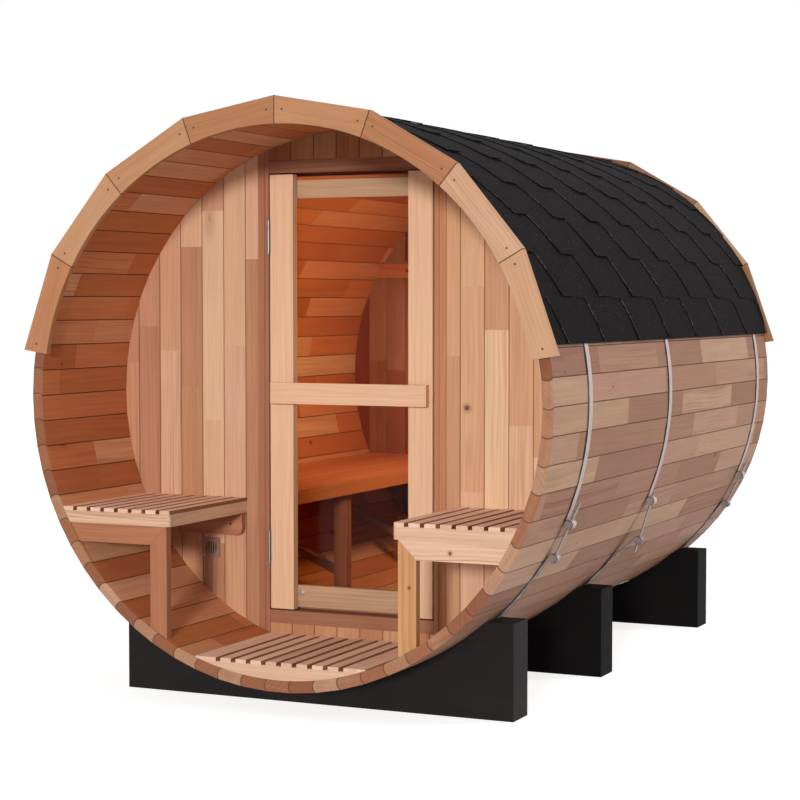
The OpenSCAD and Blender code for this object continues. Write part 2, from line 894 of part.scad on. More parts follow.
module right_seat_frame() {
    color(cedar) seat_frame();
}

module left_seat_frame() {
    color(cedar) mirror([1, 0, 0]) seat_frame();
}

module seat_cleats() {
    color(cedar) for (s = [0, 1]) mirror([s, 0, 0]) seat_cleat();
}

// Vent: a square plate with upright slots inside a sunken round field. The slots are as wide as the bars
module vent_grille() {
    field_r = vent_field_w / 2;
    slot_w = vent_field_w / (2 * vent_slot_n + 1);
    place = (inner_r - vent_inset) * [cos(vent_angle), sin(vent_angle)];
    color(cedar) translate([-place[0], wall_y, axis_z - place[1]]) rotate([90, 0, 0]) difference() {
        linear_extrude(vent_t) square(vent_w, center = true);
        translate([0, 0, vent_t - vent_field_d]) cylinder(h = vent_t, r = field_r);
        for (i = [0:vent_slot_n - 1]) {
            x = (2 * i + 1 - vent_slot_n) * slot_w;
            h = 2 * (sqrt(field_r * field_r - x * x) - slot_w);
            translate([x - slot_w / 2, -h / 2, -past]) cube([slot_w, h, vent_t + 2 * past]);
        }
    }
}

// Bench along the left side of the room
bench_z = axis_z - bench_drop;
bench_y0 = wall_y + jamb_depth + fit;
bench_y1 = back_wall_y - fit;
bench_under = bench_z - bench_top_t;

module bench_top() {
    w = bench_front_x + bench_apron_t;
    n = ceil((inner_r - w) / board_w);
    color(cedar) intersection() {
        for (i = [0:n - 1]) box([-w - fit - (i + 1) * board_w, bench_y0, bench_under],
            [-w - fit - i * board_w - fit, bench_y1, bench_z]);
        round_core(inside_r, bench_y0 - past, bench_y1 + past);
    }
}

module bench_apron() {
    color(cedar) box([-bench_front_x - bench_apron_t, bench_y0, bench_z - bench_apron_h],
        [-bench_front_x, bench_y1, bench_z]);
}

// Each leg with the rail under the bench and a strut that slopes up to the wall
module bench_leg_outline() {
    x1 = -bench_front_x - bench_apron_t - fit;
    x0 = x1 - bench_leg_w;
    top = bench_under - axis_z;
    strut_z = -bench_drop - strut_drop;
    strut_far = strut_z + (outer_r + x0) * tan(strut_slope);
    half = strut_h / 2;
    translate([x0, -outer_r]) square([bench_leg_w, top + outer_r]);
    translate([-outer_r, top - bench_rail_h]) square([outer_r + x1, bench_rail_h]);
    polygon([[x0 + past, strut_z - half], [x0 + past, strut_z + half], [x0, strut_z + half],
        [-outer_r, strut_far + half], [-outer_r, strut_far - half], [x0, strut_z - half]]);
}

module bench_legs() {
    color(red_cedar) intersection() {
        for (y = [bench_y0 + bench_leg_inset, bench_y1 - bench_leg_inset - bench_leg_t])
            across(y, y + bench_leg_t) bench_leg_outline();
        round_core(inside_r, bench_y0, bench_y1);
    }
}

floor_staves();
left_wall_staves();
right_wall_staves();
roof_staves();
roof_shingles();
front_fascia();
back_fascia();
front_wall_left();
front_wall_right();
front_wall_head();
front_wall_foot();
back_wall();
back_wall_batten();
door_jamb_left();
door_jamb_right();
door_head();
door_sill();
hinge_jamb_halves();
hinge_door_halves();
door_stile_left();
door_stile_right();
door_glass();
door_back_frame();
door_bar();
front_hoop();
middle_hoop();
rear_hoop();
hoop_tensioners();
front_cradle();
middle_cradle();
rear_cradle();
deck_slats();
deck_bearers();
left_seat_slats();
left_seat_apron();
left_seat_frame();
right_seat_slats();
right_seat_apron();
right_seat_frame();
seat_cleats();
vent_grille();
bench_top();
bench_apron();
bench_legs();
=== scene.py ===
"""Looks of the barrel sauna: cedar, shingles, steel, glass, fixings and the stage."""

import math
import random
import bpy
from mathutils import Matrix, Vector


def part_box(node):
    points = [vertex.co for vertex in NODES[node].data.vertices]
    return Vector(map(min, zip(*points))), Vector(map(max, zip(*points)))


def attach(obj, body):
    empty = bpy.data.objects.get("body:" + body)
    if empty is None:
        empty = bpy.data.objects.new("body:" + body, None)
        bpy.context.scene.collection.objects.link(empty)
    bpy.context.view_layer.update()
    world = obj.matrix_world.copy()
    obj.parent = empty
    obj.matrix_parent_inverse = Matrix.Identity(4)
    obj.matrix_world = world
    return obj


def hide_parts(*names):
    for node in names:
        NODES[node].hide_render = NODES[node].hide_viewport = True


bl_info = {
    "name": "Barrel Sauna",
    "version": (1, 0, 0),
    "blender": (4, 5, 0),
    "location": "View3D > Sidebar > Sauna",
    "description": "Dresses the barrel sauna: cedar boards, shingled roof, hoops, door, porch and stage",
    "category": "Object",
}

from types import SimpleNamespace

import bmesh
import bpy
from mathutils import Matrix, Vector

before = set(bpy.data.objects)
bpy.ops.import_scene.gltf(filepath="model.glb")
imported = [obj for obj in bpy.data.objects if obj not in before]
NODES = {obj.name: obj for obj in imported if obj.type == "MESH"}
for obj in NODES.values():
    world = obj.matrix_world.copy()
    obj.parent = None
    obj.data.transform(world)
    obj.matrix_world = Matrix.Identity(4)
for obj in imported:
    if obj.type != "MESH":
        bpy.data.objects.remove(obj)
HOOPS = ("front_hoop", "middle_hoop", "rear_hoop")


# Sizes that come from the frame

def span(node, axis):
    """The lowest and the highest place of a node along an axis"""
    low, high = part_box(node)
    return low[axis], high[axis]


FRONT_Y, BACK_Y = span("floor_staves", 1)
AXIS_Z = sum(span("rear_hoop", 2)) / 2
WALL_Y = span("front_wall_left", 1)[0]
BACK_WALL_Y = span("back_wall", 1)[0]
JAMB_X = span("door_jamb_right", 0)[1]
SEAT_X = span("right_seat_slats", 0)[0]
SEAT_LEG_X = span("right_seat_frame", 0)[0]
SEAT_FRAME_TOP = span("right_seat_frame", 2)[1]

# Sizes of boards and fixings, in metres
STAVE_COUNT = 66
STAVE_R = 0.900
STAVE_T = 0.036
BEAD_H = 0.008
WALL_T = 0.036
WALL_BOARD = 0.084
NARROW_BOARD = 0.050
BACK_WALL_START = 0.102
BENCH_START = span("bench_apron", 0)[0] - 0.0002
BENCH_RAIL_X = span("bench_legs", 0)[1] - 0.0521
DOORWAY = JAMB_X - 0.040
REBATE_X = DOORWAY + 0.016
LEAF_RAIL_X = DOORWAY - 0.012 - 0.058
LEAF_REBATE = 0.012
SEAT_PITCH = 0.0516
DECK_PITCH = 0.0536
APRON_BACK_Y = FRONT_Y + 0.0202
ROOF_R = 0.90352
ROOF_HALF = math.radians(78.6)
FASCIA_R = 0.931
FASCIA_INNER = 0.845
FASCIA_MIDDLE = (FASCIA_R + FASCIA_INNER) / 2
FASCIA_STEP = math.radians(20.2)
FASCIA_HALF = 4
NAIL_SHARES = (0.085, 0.915)
BOLT_X, BOLT_Z = -0.198, AXIS_Z - 0.672
CLEAT_SCREW_X, CLEAT_SCREW_Z = 0.439, AXIS_Z - 0.446
VENT_INSET = 0.004
VENT_SCREW_IN = 0.006
VENT_SCREW_R = 0.0032
BATTEN_SCREW_R = 0.0065
BATTEN_SCREW_X = (-0.610, -0.500, 0.0, 0.500, 0.610)

# A segment longer than any board, so that no finger joint shows
WHOLE = 9.0


# Properties

def srgb(r, g, b):
    """A colour read as 0-255 screen values, as linear RGB."""
    def lin(v):
        v /= 255.0
        return v / 12.92 if v <= 0.04045 else ((v + 0.055) / 1.055) ** 2.4
    return (lin(r), lin(g), lin(b))


def colour_prop(name, description, *screen):
    """A colour given as screen values."""
    return bpy.props.FloatVectorProperty(name=name, description=description, subtype="COLOR",
                                         size=3, min=0.0, max=1.0, default=srgb(*screen))


def length_prop(name, description, value):
    return bpy.props.FloatProperty(name=name, description=description, unit="LENGTH",
                                   subtype="DISTANCE", default=value)


class SaunaColours(bpy.types.PropertyGroup):
    wall: colour_prop("Wall boards", "Cedar of the upright boards", 208, 158, 120)
    # Painted shade: the head board is given a darker tone for the shade under the roof's ring
    head_board: colour_prop("Head board", "Cedar of the board over the door", 156, 100, 62)
    foot_board: colour_prop("Foot board", "Cedar of the board under the door", 184, 130, 92)
    # Painted shade: the room's side of the back wall is painted darker than the room's other cedar
    back_wall: colour_prop("Back wall", "Cedar of the back wall on the room's side", 150, 66, 36)
    stave: colour_prop("Staves outside", "Cedar of the staves' outer faces", 168, 126, 102)
    porch: colour_prop("Staves in the porch", "Cedar of the staves' inner faces", 196, 120, 72)
    room: colour_prop("Room", "Warm cedar inside the room", 208, 118, 64)
    bench_leg: colour_prop("Bench legs", "Cedar of the bench's legs", 150, 84, 52)
    stave_end: colour_prop("Stave ends", "End grain of the staves", 150, 97, 68)
    fascia: colour_prop("Fascia", "Cedar of the fascia boards", 176, 122, 82)
    leaf: colour_prop("Door leaf", "Pale cedar of the door's stiles and bar", 220, 176, 142)
    leaf_frame: colour_prop("Leaf frame", "Pale cedar of the frame behind the glass", 230, 192, 158)
    leaf_rebate: colour_prop("Leaf rebate", "Red cedar along the leaf's top edge", 214, 112, 58)
    frame_red: colour_prop("Door frame", "Red cedar of the door frame", 170, 112, 82)
    deck: colour_prop("Slats", "Cedar of the deck and the seats", 226, 184, 156)
    apron: colour_prop("Aprons", "Pale cedar of the front boards", 214, 174, 144)
    seat_frame: colour_prop("Right seat frame", "Cedar of the right seat's leg and rail", 196, 144, 98)
    left_frame: colour_prop("Left seat frame", "Cedar of the left seat's leg and rail", 170, 111, 79)
    cleat: colour_prop("Cleats", "Cedar of the cleats under the seats", 165, 104, 76)
    vent: colour_prop("Vent", "Cedar of the vent plate", 150, 116, 98)
    shingle: colour_prop("Shingles", "Mineral granules", 14, 9, 11)
    pale_grain: colour_prop("Pale grains", "Scattered pale granules of the shingles", 140, 136, 136)
    timber: colour_prop("Cradles", "Black stain", 27, 23, 22)
    strap: colour_prop("Hoops", "Satin steel strap", 196, 176, 170)
    # Painted shade: the dark colour of the straps' edge faces stands in for the shadow line along each hoop
    strap_edge_shade: colour_prop("Hoop edges", "Edges of the steel strap", 40, 30, 28)
    # The darker colour the straps are painted with towards the cradles
    strap_low_darkening: colour_prop("Mud", "Mud on the straps near the cradles", 66, 54, 48)
    zinc: colour_prop("Fittings", "Bright zinc", 158, 154, 150)
    hinge: colour_prop("Hinges", "Satin steel of the hinges", 136, 132, 128)
    bolt: colour_prop("Bolt", "Cap on the door's lower rail", 206, 198, 188)
    nail: colour_prop("Nails", "Heads of the fascia nails", 92, 80, 72)
    dark_screw: colour_prop("Cleat screws", "Dark screws in the cleats", 48, 36, 30)
    pale_screw: colour_prop("Vent screw", "Pale screw in the vent", 200, 180, 160)
    batten_screw: colour_prop("Batten screws", "Dark screws in the batten", 34, 22, 18)
    glass: colour_prop("Glass", "Faint tint of the clear glass", 236, 232, 228)


class SaunaSizes(bpy.types.PropertyGroup):
    exposure: length_prop("Shingle exposure", "Height of a course that shows", 0.141)
    ridge_cap: length_prop("Ridge cap width", "Width of the cap along the ridge", 0.216)
    tab_pitch: length_prop("Tab pitch", "Distance between shingle tabs", 0.333)
    tab_flat: length_prop("Tab flat", "Width of a tab's straight lower edge", 0.100)
    tab_slope: length_prop("Tab slope", "How far each side of a tab slopes", 0.077)
    shingle_t: length_prop("Shingle thickness", "Thickness of one shingle", 0.0030)
    nail_r: length_prop("Nail head radius", "Radius of a fascia nail's head", 0.0036)
    screw_r: length_prop("Screw head radius", "Radius of a screw's head", 0.0045)
    bolt_r: length_prop("Bolt cap radius", "Radius of the cap on the door's lower rail", 0.0100)
    stave_segment: length_prop("Stave segment", "Usual length between finger joints", 0.62)
    board_segment: length_prop("Board segment", "Usual length between joints in the wall", 0.62)


class SaunaStage(bpy.types.PropertyGroup):
    floor: colour_prop("Floor", "Colour of the floor and the backdrop", 255, 255, 255)
    key: bpy.props.FloatProperty(name="Key light", description="Strength of the light from the front",
                                 default=2.27)
    fill: bpy.props.FloatProperty(name="Side light", default=1.2,
                                  description="Strength of the light from behind on the right")
    room: bpy.props.FloatProperty(name="Room light", description="Power of the lamp in the room",
                                  default=8.0, unit="POWER")
    world: bpy.props.FloatProperty(name="Sky", description="Strength of the even light from all sides",
                                   subtype="FACTOR", min=0.0, max=1.0, default=0.34)


def colours():
    """The colours as they are set, as plain tuples by name."""
    group = bpy.context.scene.sauna_colours
    return SimpleNamespace(**{key: tuple(getattr(group, key)) for key in SaunaColours.__annotations__})


def sizes():
    return bpy.context.scene.sauna_sizes


def shift_tone(colour, amount):
    """A colour scaled by amount, one number or three."""
    scale = amount if isinstance(amount, tuple) else (amount, amount, amount)
    return tuple(min(1.0, c * s) for c, s in zip(colour, scale))


# Node helpers

class Net:
    """Adds nodes to one node tree and links them."""

    def __init__(self, tree):
        self.tree = tree

    def node(self, kind, values=None, **settings):
        made = self.tree.nodes.new(kind)
        for key, value in settings.items():
            setattr(made, key, value)
        for key, value in (values or {}).items():
            self.put(made.inputs[key], value)
        return made

    def put(self, socket, value):
        if isinstance(value, bpy.types.NodeSocket):
            self.tree.links.new(value, socket)
        elif value is not None:
            if socket.type == "RGBA" and len(value) == 3:
                value = (*value, 1.0)
            socket.default_value = value

    def math(self, operation, a, b=None):
        return self.node("ShaderNodeMath", {0: a, 1: b}, operation=operation).outputs[0]

    def add(self, a, b):
        return self.math("ADD", a, b)

    def sub(self, a, b):
        return self.math("SUBTRACT", a, b)

    def mul(self, a, b):
        return self.math("MULTIPLY", a, b)

    def above(self, a, b):
        """1 where a is greater than b, 0 elsewhere"""
        return self.math("GREATER_THAN", a, b)

    def below(self, a, b):
        """1 where a is less than b, 0 elsewhere"""
        return self.math("LESS_THAN", a, b)

    def absolute(self, a):
        return self.math("ABSOLUTE", a)

    def swing(self, value, gain):
        """A value round 0.5 as a swing round zero"""
        return self.mul(self.sub(value, 0.5), gain)

    def length(self, x, y):
        """How far (x, y) is from the origin"""
        flat = self.join(x, y, 0.0)
        return self.node("ShaderNodeVectorMath", {0: flat}, operation="LENGTH").outputs["Value"]

    def join(self, x, y, z):
        return self.node("ShaderNodeCombineXYZ", {"X": x, "Y": y, "Z": z}).outputs[0]

    def grey(self, value):
        return self.join(value, value, value)

    def split(self, vector):
        return self.node("ShaderNodeSeparateXYZ", {"Vector": vector}).outputs

    def mix(self, factor, a, b, blend="MIX"):
        made = self.node("ShaderNodeMix", {0: factor, 6: a, 7: b}, data_type="RGBA", blend_type=blend,
                         clamp_factor=True)
        return made.outputs[2]

    def tint(self, base, colour):
        """base multiplied by colour"""
        return self.mix(1.0, base, colour, "MULTIPLY")

    def mixf(self, factor, a, b):
        made = self.node("ShaderNodeMix", {0: factor, 2: a, 3: b}, data_type="FLOAT", clamp_factor=True)
        return made.outputs[0]

    def mix_shaders(self, factor, a, b):
        return self.node("ShaderNodeMixShader", {0: factor, 1: a, 2: b}).outputs[0]

    def ramp(self, value, low, high, to_low=0.0, to_high=1.0, smooth=False):
        made = self.node("ShaderNodeMapRange", {"Value": value, "From Min": low, "From Max": high,
                                                "To Min": to_low, "To Max": to_high},
                         interpolation_type="SMOOTHSTEP" if smooth else "LINEAR")
        return made.outputs[0]

    def noise(self, vector=None, w=None, scale=1.0, detail=2.0, rough=0.5):
        """Noise over a vector, or along w alone"""
        where, dims = ({"Vector": vector}, "3D") if w is None else ({"W": w}, "1D")
        look = {"Scale": scale, "Detail": detail, "Roughness": rough}
        return self.node("ShaderNodeTexNoise", {**where, **look}, noise_dimensions=dims).outputs[0]

    def cells(self, values, dims="3D"):
        return self.node("ShaderNodeTexVoronoi", values, voronoi_dimensions=dims, feature="F1").outputs


def new_group(name, inputs, outputs):
    """A shader node group with named sockets, and a Net to fill it with."""
    tree = bpy.data.node_groups.new(name, "ShaderNodeTree")
    kinds = {"F": "NodeSocketFloat", "C": "NodeSocketColor"}
    for label, kind, value in inputs:
        socket = tree.interface.new_socket(name=label, in_out="INPUT", socket_type=kinds[kind])
        socket.default_value = (*value, 1.0) if kind == "C" else value
    for label, kind in outputs:
        tree.interface.new_socket(name=label, in_out="OUTPUT", socket_type=kinds[kind])
    start = tree.nodes.new("NodeGroupInput").outputs
    end = tree.nodes.new("NodeGroupOutput").inputs
    return Net(tree), start, end


def make_cedar_group():
    """Cedar cut from solid wood: rings round a pith that lies along each board, fibres, finger-jointed
    segments with their own tone, a few knots, and a dark line where boards meet."""
    net, start, end = new_group("cedar", [
        ("Along", "F", 0.0), ("Across", "F", 0.0), ("Depth", "F", 0.0), ("Board", "F", 0.0),
        ("Gap", "F", 1.0), ("Colour", "C", (0.6, 0.4, 0.2)), ("Segment", "F", 0.6), ("Spread", "F", 1.0),
        ("Knots", "F", 0.2), ("Grain", "F", 1.0), ("Line", "F", 0.0012), ("Line Depth", "F", 0.8)],
        [("Color", "C"), ("Roughness", "F"), ("Height", "F")])
    along, across, depth, board = (start[k] for k in ("Along", "Across", "Depth", "Board"))
    colour, spread, grain = start["Colour"], start["Spread"], start["Grain"]
    chance = net.node("ShaderNodeTexWhiteNoise", {"W": net.add(board, 0.37)}, noise_dimensions="1D")
    per_board = net.split(chance.outputs["Color"])
    where = net.add(net.math("DIVIDE", along, start["Segment"]), net.mul(board, 17.31))
    seg = net.split(net.cells({"W": where, "Scale": 1.0, "Randomness": 0.75}, "1D")["Color"])
    own = net.mul(net.add(seg[2], per_board[0]), 23.0)

    # Rings round a pith beside the board
    wander = net.noise(net.join(net.mul(along, 1.3), own, 0.0))
    side = net.add(net.sub(across, net.mul(seg[1], 0.12)), net.swing(wander, 0.06))
    deep = net.add(depth, net.add(0.03, net.mul(per_board[2], 0.09)))
    radius = net.length(side, deep)
    ring_at = net.add(radius, net.mul(own, 1.7))
    broad = net.noise(w=net.mul(ring_at, 55.0))
    fine = net.noise(w=net.mul(ring_at, 310.0))
    fibre_at = net.join(net.mul(along, 4.0), net.mul(across, 260.0), net.add(net.mul(depth, 260.0), own))
    fibre = net.noise(fibre_at, detail=4.0, rough=0.6)
    band = net.noise(net.join(net.mul(along, 2.4), net.mul(net.add(side, deep), 130.0), own))
    cloud = net.noise(net.join(net.mul(along, 5.0), net.mul(across, 22.0), own), detail=3.0)

    # Tone of each segment, from a darker redder one to a paler one
    tone = net.swing(net.add(net.mul(seg[0], 0.70), net.mul(per_board[0], 0.30)), spread)
    tone = net.add(tone, net.swing(broad, net.mul(grain, 0.30)))
    tone = net.add(tone, net.swing(cloud, 0.22))
    # Heartwood starts at some ring, so a few boards have two tones that taper into each other
    heart_at = net.add(0.02, net.mul(per_board[1], 0.55))
    reach = net.add(radius, net.swing(wander, 0.10))
    heart = net.sub(1.0, net.ramp(net.sub(reach, heart_at), 0.0, 0.004))
    tone = net.add(tone, net.mul(net.mul(heart, spread), net.ramp(per_board[1], 0.45, 0.0, 0.0, 0.22)))
    darker = net.tint(colour, (0.58, 0.46, 0.38))
    paler = net.mix(0.42, colour, (0.92, 0.69, 0.46))
    body = net.mix(net.ramp(tone, 0.0, 0.75), colour, darker)
    body = net.mix(net.ramp(tone, 0.0, -0.60), body, paler)
    pink = net.mul(net.ramp(seg[2], 0.60, 0.70), net.mul(spread, 0.8))
    body = net.mix(pink, body, net.tint(body, (1.0, 0.97, 1.04)))
    # Some boards show their rings much more than others
    strong = net.add(0.30, net.mul(net.math("POWER", seg[1], 4.0), 1.8))
    lines = net.mul(net.add(net.ramp(fine, 0.50, 0.75), net.ramp(band, 0.52, 0.72)), net.mul(grain, strong))
    body = net.mix(net.mul(lines, 0.34), body, net.tint(body, (0.66, 0.5, 0.42)))
    streak = net.mul(net.ramp(fibre, 0.3, 0.7, 0.92, 1.06), net.ramp(band, 0.3, 0.6, 1.05, 0.97))
    body = net.tint(body, net.grey(streak))

    # Knots
    knot_at = net.join(net.mul(along, 2.6), net.mul(across, 9.0), net.mul(own, 3.0))
    knot = net.cells({"Vector": knot_at, "Scale": 1.0, "Randomness": 1.0})
    some = net.below(net.split(knot["Color"])[0], start["Knots"])
    core = net.mul(net.ramp(knot["Distance"], 0.05, 0.10, 1.0, 0.0, smooth=True), some)
    halo = net.mul(net.ramp(knot["Distance"], 0.08, 0.30, 1.0, 0.0, smooth=True), some)
    body = net.mix(net.mul(halo, 0.35), body, darker)
    body = net.mix(net.mul(core, 0.8), body, net.tint(darker, (0.45, 0.35, 0.3)))

    # Where boards meet
    near = net.ramp(start["Gap"], start["Line"], net.mul(start["Line"], 2.0), 1.0, 0.0)
    body = net.mix(net.mul(near, start["Line Depth"]), body, (0.075, 0.026, 0.014))
    net.put(end["Color"], body)
    net.put(end["Roughness"], net.add(0.52, net.mul(fibre, 0.22)))
    net.put(end["Height"], net.sub(net.add(net.mul(fibre, 0.6), net.mul(fine, 0.4)), core))


# Where a point lies in its board: functions of object coordinates

class Place:
    """Object coordinates of a surface, with the parts that the boards need. h is the height over the
    barrel's middle line."""

    def __init__(self, net):
        self.net = net
        found = net.node("ShaderNodeTexCoord")
        self.point = found.outputs["Object"]
        self.x, self.y, self.z = net.split(self.point)
        self.h = net.sub(self.z, AXIS_Z)
        self.normal = net.split(found.outputs["Normal"])

    def out(self):
        """How far to the left or to the right"""
        return self.net.absolute(self.x)

    def on_end(self):
        """1 on faces across the barrel, 0 elsewhere"""
        return self.net.above(self.net.absolute(self.normal[1]), 0.8)

    def past_mitre(self):
        """1 beyond the line at 45 degrees through the corner of a seat's frame, 0 before it"""
        net = self.net
        return net.above(net.sub(self.out(), SEAT_LEG_X), net.sub(SEAT_FRAME_TOP, self.z))

    def index(self, value, pitch, offset=0.0, first=0.0):
        """The board that value lies in, the distance from that board's edge and from its middle line."""
        net = self.net
        share = net.math("DIVIDE", net.sub(value, offset), pitch)
        cut = net.math("FLOOR", share)
        inside = net.sub(share, cut)
        edge = net.mul(net.math("MINIMUM", inside, net.sub(1.0, inside)), pitch)
        return net.add(cut, first), edge, net.swing(inside, pitch)

    def sign(self, value, amount):
        """amount for a positive value, zero for a negative one"""
        return self.net.mul(self.net.above(value, 0.0), amount)

    def numbered(self, value, amount, number):
        """The number of a board of its own on each side of zero"""
        return self.net.add(self.sign(value, amount), number)

    def lay(self, along, across, depth, board, gap=1.0):
        """A board along one axis, with its width along the second and its thickness along the third"""
        across = getattr(self, across) if isinstance(across, str) else across
        return getattr(self, along), across, getattr(self, depth), board, gap

    def chosen(self, mask, first, second):
        """first where mask is 0, second where it is 1"""
        return tuple(self.net.mixf(mask, a, b) for a, b in zip(first, second))


def place_staves(p):
    """Along the barrel. The bead of the next stave reaches into this one's share of the circle."""
    net = p.net
    half = math.pi / STAVE_COUNT
    angle = net.math("ARCTAN2", p.h, p.x)
    board = p.index(angle, 2 * half)[0]
    radius = net.length(p.x, p.h)
    local = net.sub(angle, net.mul(net.add(board, 0.5), 2 * half))
    u = net.mul(radius, net.math("COSINE", local))
    v = net.mul(radius, net.math("SINE", local))
    chord = STAVE_T / 2 / math.cos(half)
    bead_r = (chord ** 2 + BEAD_H ** 2) / (2 * BEAD_H)
    out, off = (STAVE_R - STAVE_T / 2) / math.cos(half), bead_r - BEAD_H
    centre = (out * math.cos(half) - off * math.sin(half), out * math.sin(half) + off * math.cos(half))
    into_bead = net.sub(bead_r, net.length(net.sub(u, centre[0]), net.sub(v, centre[1])))
    next_one = net.above(into_bead, 0.0)
    joint = net.mul(net.sub(half, net.absolute(local)), radius)
    gap = net.mixf(p.on_end(), joint, net.absolute(into_bead))
    return p.y, net.mul(local, STAVE_R), radius, net.add(board, next_one), gap


def place_wall_sides(p):
    """Boards numbered outwards from the narrow one beside each jamb."""
    left_first, right_first = 3461.0, 31.0
    board, gap, middle = p.index(p.out(), WALL_BOARD, JAMB_X + NARROW_BOARD, left_first)
    return p.lay("z", middle, "y", p.net.add(board, p.sign(p.x, right_first - left_first)), gap)


def place_wall_middle(p):
    board, gap, middle = p.index(p.x, WALL_BOARD, -DOORWAY, 60.0)
    return p.lay("z", middle, "y", p.net.add(board, p.sign(p.h, 13.0)), gap)


def place_back_wall(p):
    board, gap, middle = p.index(p.x, WALL_BOARD, -STAVE_R + BACK_WALL_START, 90.0)
    return p.lay("z", middle, "y", board, gap)


def place_fascia(p):
    """Boards round the ring, counted from the top, with no joint drawn at the ring's two lower ends."""
    net = p.net
    first_board, at_back = 1138.0, 17.0
    angle = net.math("ARCTAN2", p.x, p.h)
    sector = p.index(angle, FASCIA_STEP)[0]
    off = net.sub(angle, net.mul(net.add(sector, 0.5), FASCIA_STEP))
    radius = net.length(p.x, p.h)
    board = net.add(net.add(sector, first_board), p.sign(p.y, at_back))
    edge = net.mul(net.sub(FASCIA_STEP / 2, net.absolute(off)), radius)
    inner = net.below(net.absolute(angle), FASCIA_STEP * (FASCIA_HALF - 0.5))
    return (net.mul(radius, net.math("SINE", off)),
            net.sub(net.mul(radius, net.math("COSINE", off)), FASCIA_MIDDLE),
            p.y, board, net.mixf(inner, 1.0, edge))


def place_upright(number):
    return lambda p: p.lay("z", "x", "y", p.numbered(p.x, 7.0, number))


def place_level(number):
    return lambda p: p.lay("x", "z", "y", p.numbered(p.h, 7.0, number))


def place_jamb(p):
    """A jamb with the fine line of its rebate."""
    line = p.net.absolute(p.net.sub(p.out(), REBATE_X))
    return p.lay("z", "x", "y", p.numbered(p.x, 7.0, 200.0), line)


def place_slats(pitch, offset, number):
    """Slats along the barrel. An offset counts them outwards from there on each side."""
    def place(p):
        board, _, middle = p.index(p.out() if offset else p.x, pitch, offset, number)
        return p.lay("y", middle, "z", p.net.add(board, p.sign(p.x, 19.0)))
    return place


def place_apron(p):
    """The front board runs across, the side board along the barrel."""
    side = p.net.above(p.y, APRON_BACK_Y)
    board = p.numbered(p.x, 5.0, 240.0)
    return p.chosen(side, p.lay("x", "z", "y", board), p.lay("y", "z", "x", p.net.add(board, 2.0)))


def place_seat_frame(p):
    """The leg is on the near side of the mitre, the rail beyond it."""
    board = p.numbered(p.x, 5.0, 260.0)
    return p.chosen(p.past_mitre(), p.lay("z", "x", "y", board),
                    p.lay("x", "z", "y", p.net.add(board, 2.0)))


def place_leaf_frame(p):
    """Stiles run up, the rails between them run across."""
    rail = p.net.below(p.out(), LEAF_RAIL_X)
    return p.chosen(rail, p.lay("z", "x", "y", p.numbered(p.x, 5.0, 280.0)),
                    p.lay("x", "z", "y", p.numbered(p.h, 3.0, 291.0)))


def place_bench_top(p):
    board, gap, middle = p.index(p.x, WALL_BOARD, BENCH_START, 330.0)
    return p.lay("y", middle, "z", board, gap)


def place_bench_legs(p):
    """Rails run in under the bench, the legs stand at its front."""
    rail = p.net.below(p.x, BENCH_RAIL_X)
    board = p.numbered(p.y, 5.0, 340.0)
    return p.chosen(rail, p.lay("z", "x", "y", board), p.lay("x", "z", "y", p.net.add(board, 2.0)))


# Materials

def new_material(name):
    made = bpy.data.materials.new(name)
    made.use_nodes = True
    made.node_tree.nodes.clear()
    return made, Net(made.node_tree)


def finish_material(net, shader):
    net.node("ShaderNodeOutputMaterial", {"Surface": shader})


def finish_surface(net, look, height, strength, distance):
    """Ends a material with one surface, its look as given, over a relief that follows height."""
    relief = net.node("ShaderNodeBump", {"Strength": strength, "Distance": distance, "Height": height})
    shader = net.node("ShaderNodeBsdfPrincipled", {**look, "Normal": relief.outputs[0]})
    finish_material(net, shader.outputs[0])


def cedar(name, place, colour, segment=WHOLE, spread=1.0, knots=0.1, grain=1.0, line=0.0009,
          line_depth=0.6, parts=None, marks=()):
    """A cedar material whose boards lie as place says. parts, where given, returns the colour of each
    point from the net and the place, and so may spread. marks lists single knots: two axes, where on
    them, and a radius."""
    made, net = new_material(name)
    spot = Place(net)
    along, across, depth, board, gap = place(spot)
    look = net.node("ShaderNodeGroup", {
        "Along": along, "Across": across, "Depth": depth, "Board": board, "Gap": gap,
        "Colour": parts(net, spot) if parts else colour, "Segment": segment,
        "Spread": spread(net, spot) if callable(spread) else spread, "Knots": knots, "Grain": grain,
        "Line": line, "Line Depth": line_depth}, node_tree=bpy.data.node_groups["cedar"]).outputs
    base = look["Color"]
    for axes, first, second, radius in marks:
        one, other = (getattr(spot, axis) for axis in axes)
        away = net.length(net.sub(one, first), net.sub(other, second))
        ring = net.ramp(away, radius * 0.9, radius * 2.4, 0.45, 0.0, smooth=True)
        base = net.mix(ring, base, net.tint(base, (0.55, 0.36, 0.28)))
        base = net.mix(net.ramp(away, radius * 0.7, radius, 0.85, 0.0), base, (0.10, 0.035, 0.018))
    finish_surface(net, {"Base Color": base, "Roughness": look["Roughness"], "Specular IOR Level": 0.22},
                   look["Height"], 0.5, 0.0006)
    return made


def give(material, *nodes):
    for name in nodes:
        mesh = NODES[name].data
        mesh.materials.clear()
        mesh.materials.append(material)


